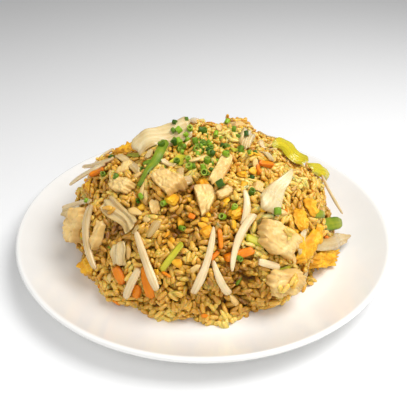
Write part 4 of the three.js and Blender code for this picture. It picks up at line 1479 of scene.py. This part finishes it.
@dataclass
class OnionRings:
    """Short tubes cut across spring onions: a sprinkle on the crown and strays over the heap.

    crown is the way to the middle of the sprinkle and reach its radius in millimetres. Each lot of more is
    a bearing, a climb, a spread in millimetres and a number of rings. crest is how high the top of a ring
    that is turned on edge may stand.
    """

    crown: Pair = (150.0, 81.0)
    reach: float = 23.0
    crown_rings: int = 32
    more: tuple[tuple[float, float, float, int], ...] = (
        (172, 74, 9, 12), (-10, 85, 16, 52), (4, 70, 8, 12), (-100, 78, 6, 5),
    )
    wall: float = 0.75
    crest: float = 83.4
    sides: int = 22
    strays: tuple[Pair, ...] = (
        (-62, 56), (-60, 50), (-65, 46), (-43, 46), (-36, 46), (-25, 47), (-12, 38), (-47, 20), (-105, 38),
        (-80, 40), (-74, 28), (15, 26), (37, 39), (11, 43), (19, 46), (32, 50), (13, 57), (47, 57), (36, 66),
        (64, 66), (76, 64), (-56, 3), (128, 44), (165, 38), (-160, 30), (-130, 52),
    )

    def ways(self) -> Array:
        """Ways out from the crown in an uneven golden spiral, then the strays and the other lots."""
        middle = way_to(*self.crown)
        side = unit(np.cross(UP, middle))
        up = np.cross(middle, side)
        index = np.arange(self.crown_rings)
        out = self.reach * np.sqrt((index + 0.5) / self.crown_rings) / FORM.height
        turn = index * 2.4 + chance(900 + index)
        spread = middle + (out * np.cos(turn))[:, None] * side + (out * np.sin(turn))[:, None] * up
        strays = np.array(self.strays)
        draw = np.random.default_rng(17)
        piled = [
            way_to(bearing, climb) + draw.normal(0, away / FORM.mean_radius, (count, 3)) * [0.6, 0.6, 0.3]
            for bearing, climb, away, count in self.more
        ]
        return np.concatenate([unit(spread), way_to(strays[:, 0], strays[:, 1]), unit(np.concatenate(piled))])

    def tube(self, radius: float, half: float) -> tuple[Array, Array, Array]:
        """A tube with rounded lips.

        Returns:
            Its points, how far each is towards the inside (0 outside, 1 inside), and its faces.
        """
        turn = np.arange(self.sides) * 2 * np.pi / self.sides
        wall = self.wall / 2
        section = np.array([
            (wall, -half * 0.85), (wall, 0), (wall, half * 0.85), (wall * 0.6, half),
            (-wall * 0.6, half), (-wall, half * 0.85), (-wall, 0), (-wall, -half * 0.85),
            (-wall * 0.6, -half), (wall * 0.6, -half),
        ])
        out = radius - wall + section[:, 0]
        points = np.stack([
            np.multiply.outer(out, np.cos(turn)),
            np.multiply.outer(out, np.sin(turn)),
            np.repeat(section[:, 1:], self.sides, axis=1),
        ], axis=-1).reshape(-1, 3)
        grid = np.arange(len(section) * self.sides).reshape(len(section), self.sides)
        after, over = np.roll(grid, -1, axis=1), np.roll(grid, -1, axis=0)
        quads = np.stack([grid, after, np.roll(after, -1, axis=0), over], axis=-1).reshape(-1, 4)
        inside = np.repeat(0.5 - section[:, 0] / self.wall, self.sides)
        return points, inside, quads

    def finish(self) -> bpy.types.Material:
        """Green outside, from dark to lime by each ring's tone, and paler inside."""
        material, graph, shader = new_material("onion_ring")
        tone = graph.attribute("tone")
        spots = blotches(graph, graph.add("TexCoord").outputs["Object"], 500.0, 2.0)
        outer = graph.blend(tone, colour("345610"), colour("9cc42a"))
        inner = graph.blend(tone, colour("728f26"), colour("ccd860"))
        body = graph.blend(graph.attribute("edge"), outer, inner)
        graph.feed(shader, {
            "Base Color": graph.blend(graph.math("MULTIPLY", spots, 0.35), body, colour("2a440c")),
            "Roughness": graph.between(spots, 0.3, 0.5),
            "Coat Weight": 0.06,
            "Specular IOR Level": 0.22,
        })
        return material

    def build(self, bed: Bed) -> bpy.types.Object:
        """Sets every ring on the rice, or on the topping that lies there."""
        points, faces, tones, insides = [], [], [], []
        for number, way in enumerate(self.ways()):
            radius = 1.5 + 0.8 * chance(5 * number)
            half = 0.9 + 1.2 * chance(5 * number + 1)
            tip = np.array([chance(5 * number + 2) * 1.5])
            spin = np.array([chance(5 * number + 3) * 2 * np.pi])
            height = float(bed.height[bed.cells(way)]) + 0.6 * half
            tube, inside, quads = self.tube(radius, half)
            squash = np.array([1.0, 0.72 + 0.28 * chance(5 * number + 4), 1.0])
            place = FORM.point(way, np.float64(height))
            place[2] = min(place[2], self.crest - radius)
            bed.heap_up(way, radius, height + 0.1 * radius)
            faces.append(quads + sum(map(len, points)))
            points.append((tube * squash) @ turned(way[None], spin, tip)[0].T + place)
            tones.append(np.full(len(tube), chance(5 * number + 11)))
            insides.append(inside)
        layers = {"tone": np.concatenate(tones), "edge": np.concatenate(insides)}
        piece = make_object("onion_rings", np.concatenate(points), [np.concatenate(faces)], **layers)
        return dress(piece, self.finish(), "onion_green", "rice_heap")


# ---------- The studio ----------


@dataclass(frozen=True)
class Studio:
    """A pale floor, soft lights and the camera in front of the plate.

    Lengths are in millimetres. Each light is a name, a place, a size and a power in watts, and sky is the
    strength of the sky's light.
    """

    elevation: float = 34.0
    distance: float = 371.0
    aim: float = 30.0
    lens: float = 50.5
    lights: tuple[tuple[str, tuple[float, float, float], float, float], ...] = (
        ("key", (270, -40, 580), 400, 3.65),
        ("front", (60, -620, 420), 560, 1.6),
        ("left", (-560, -160, 340), 480, 0.9),
    )
    sky: float = 0.27

    def floor(self) -> None:
        """A wide pale sheet under the plate."""
        half = 3000.0
        points = np.array([(-half, -half, 0), (half, -half, 0), (half, half, 0), (-half, half, 0)])
        piece = make_object("studio_floor", points, [np.array([[0, 1, 2, 3]])])
        material, graph, shader = new_material("studio_paper")
        graph.feed(shader, {"Base Color": colour("f4f4f4"), "Roughness": 0.9})
        piece.data.materials.append(material)

    def light(self) -> None:
        """Square lamps that face the plate, and an even pale sky."""
        for name, place, size, power in self.lights:
            lamp = bpy.data.lights.new(name, "AREA")
            lamp.size = size * MM
            lamp.energy = power
            holder = bpy.data.objects.new(name, lamp)
            holder.location = Vector(place) * MM
            aim = Vector((0, 0, self.aim)) * MM - holder.location
            holder.rotation_euler = aim.to_track_quat("-Z", "Y").to_euler()
            bpy.context.scene.collection.objects.link(holder)
        world = bpy.data.worlds.new("sky")
        world.use_nodes = True
        world.node_tree.nodes["Background"].inputs["Color"].default_value = colour("ffffff")
        world.node_tree.nodes["Background"].inputs["Strength"].default_value = self.sky
        bpy.context.scene.world = world
        bpy.context.scene.view_settings.view_transform = "Standard"

    def camera(self) -> None:
        """A camera in front of the plate, looking down on it."""
        up = np.radians(self.elevation)
        lens = bpy.data.cameras.new("camera")
        lens.lens = self.lens
        lens.sensor_width = 36
        lens.clip_start = 0.01
        holder = bpy.data.objects.new("camera", lens)
        back = Vector((0, -np.cos(up), np.sin(up)))
        holder.location = (Vector((0, 0, self.aim)) + back * self.distance) * MM
        holder.rotation_euler = (-back).to_track_quat("-Z", "Y").to_euler()
        bpy.context.scene.collection.objects.link(holder)
        bpy.context.scene.camera = holder


def main() -> None:
    """Builds the studio, the plate, the toppings, the rice and the rings, in that order."""
    logging.basicConfig(level=logging.INFO, format="%(message)s")
    studio = Studio()
    studio.camera()
    studio.light()
    studio.floor()
    Plate().build()
    pieces = [piece for kind in KINDS for piece in kind.build()]
    bed = Bed(pieces)
    rice = RiceHeap()
    grains = [rice.fall(bed, count, 40 + number) for number, count in enumerate(rice.rounds[:-1])]
    bits = [kind.fall(bed, 60 + number) for number, kind in enumerate(BITS)]
    # The last grains fall on the bits, and what is out of sight by then is left out.
    grains.append(rice.fall(bed, rice.rounds[-1], 50, above=0.7))
    grains = [Laid.joined(grains).seen(bed)]
    for number, (kind, laid) in enumerate(zip(BITS, bits)):
        kind.build(laid.seen(bed), 700 + 100 * number)
    bed.cover()
    grains.append(rice.stick(bed, 26, 51))
    rice.build(Laid.joined(grains))
    OnionRings().build(bed)


if __name__ == "__main__":
    main()
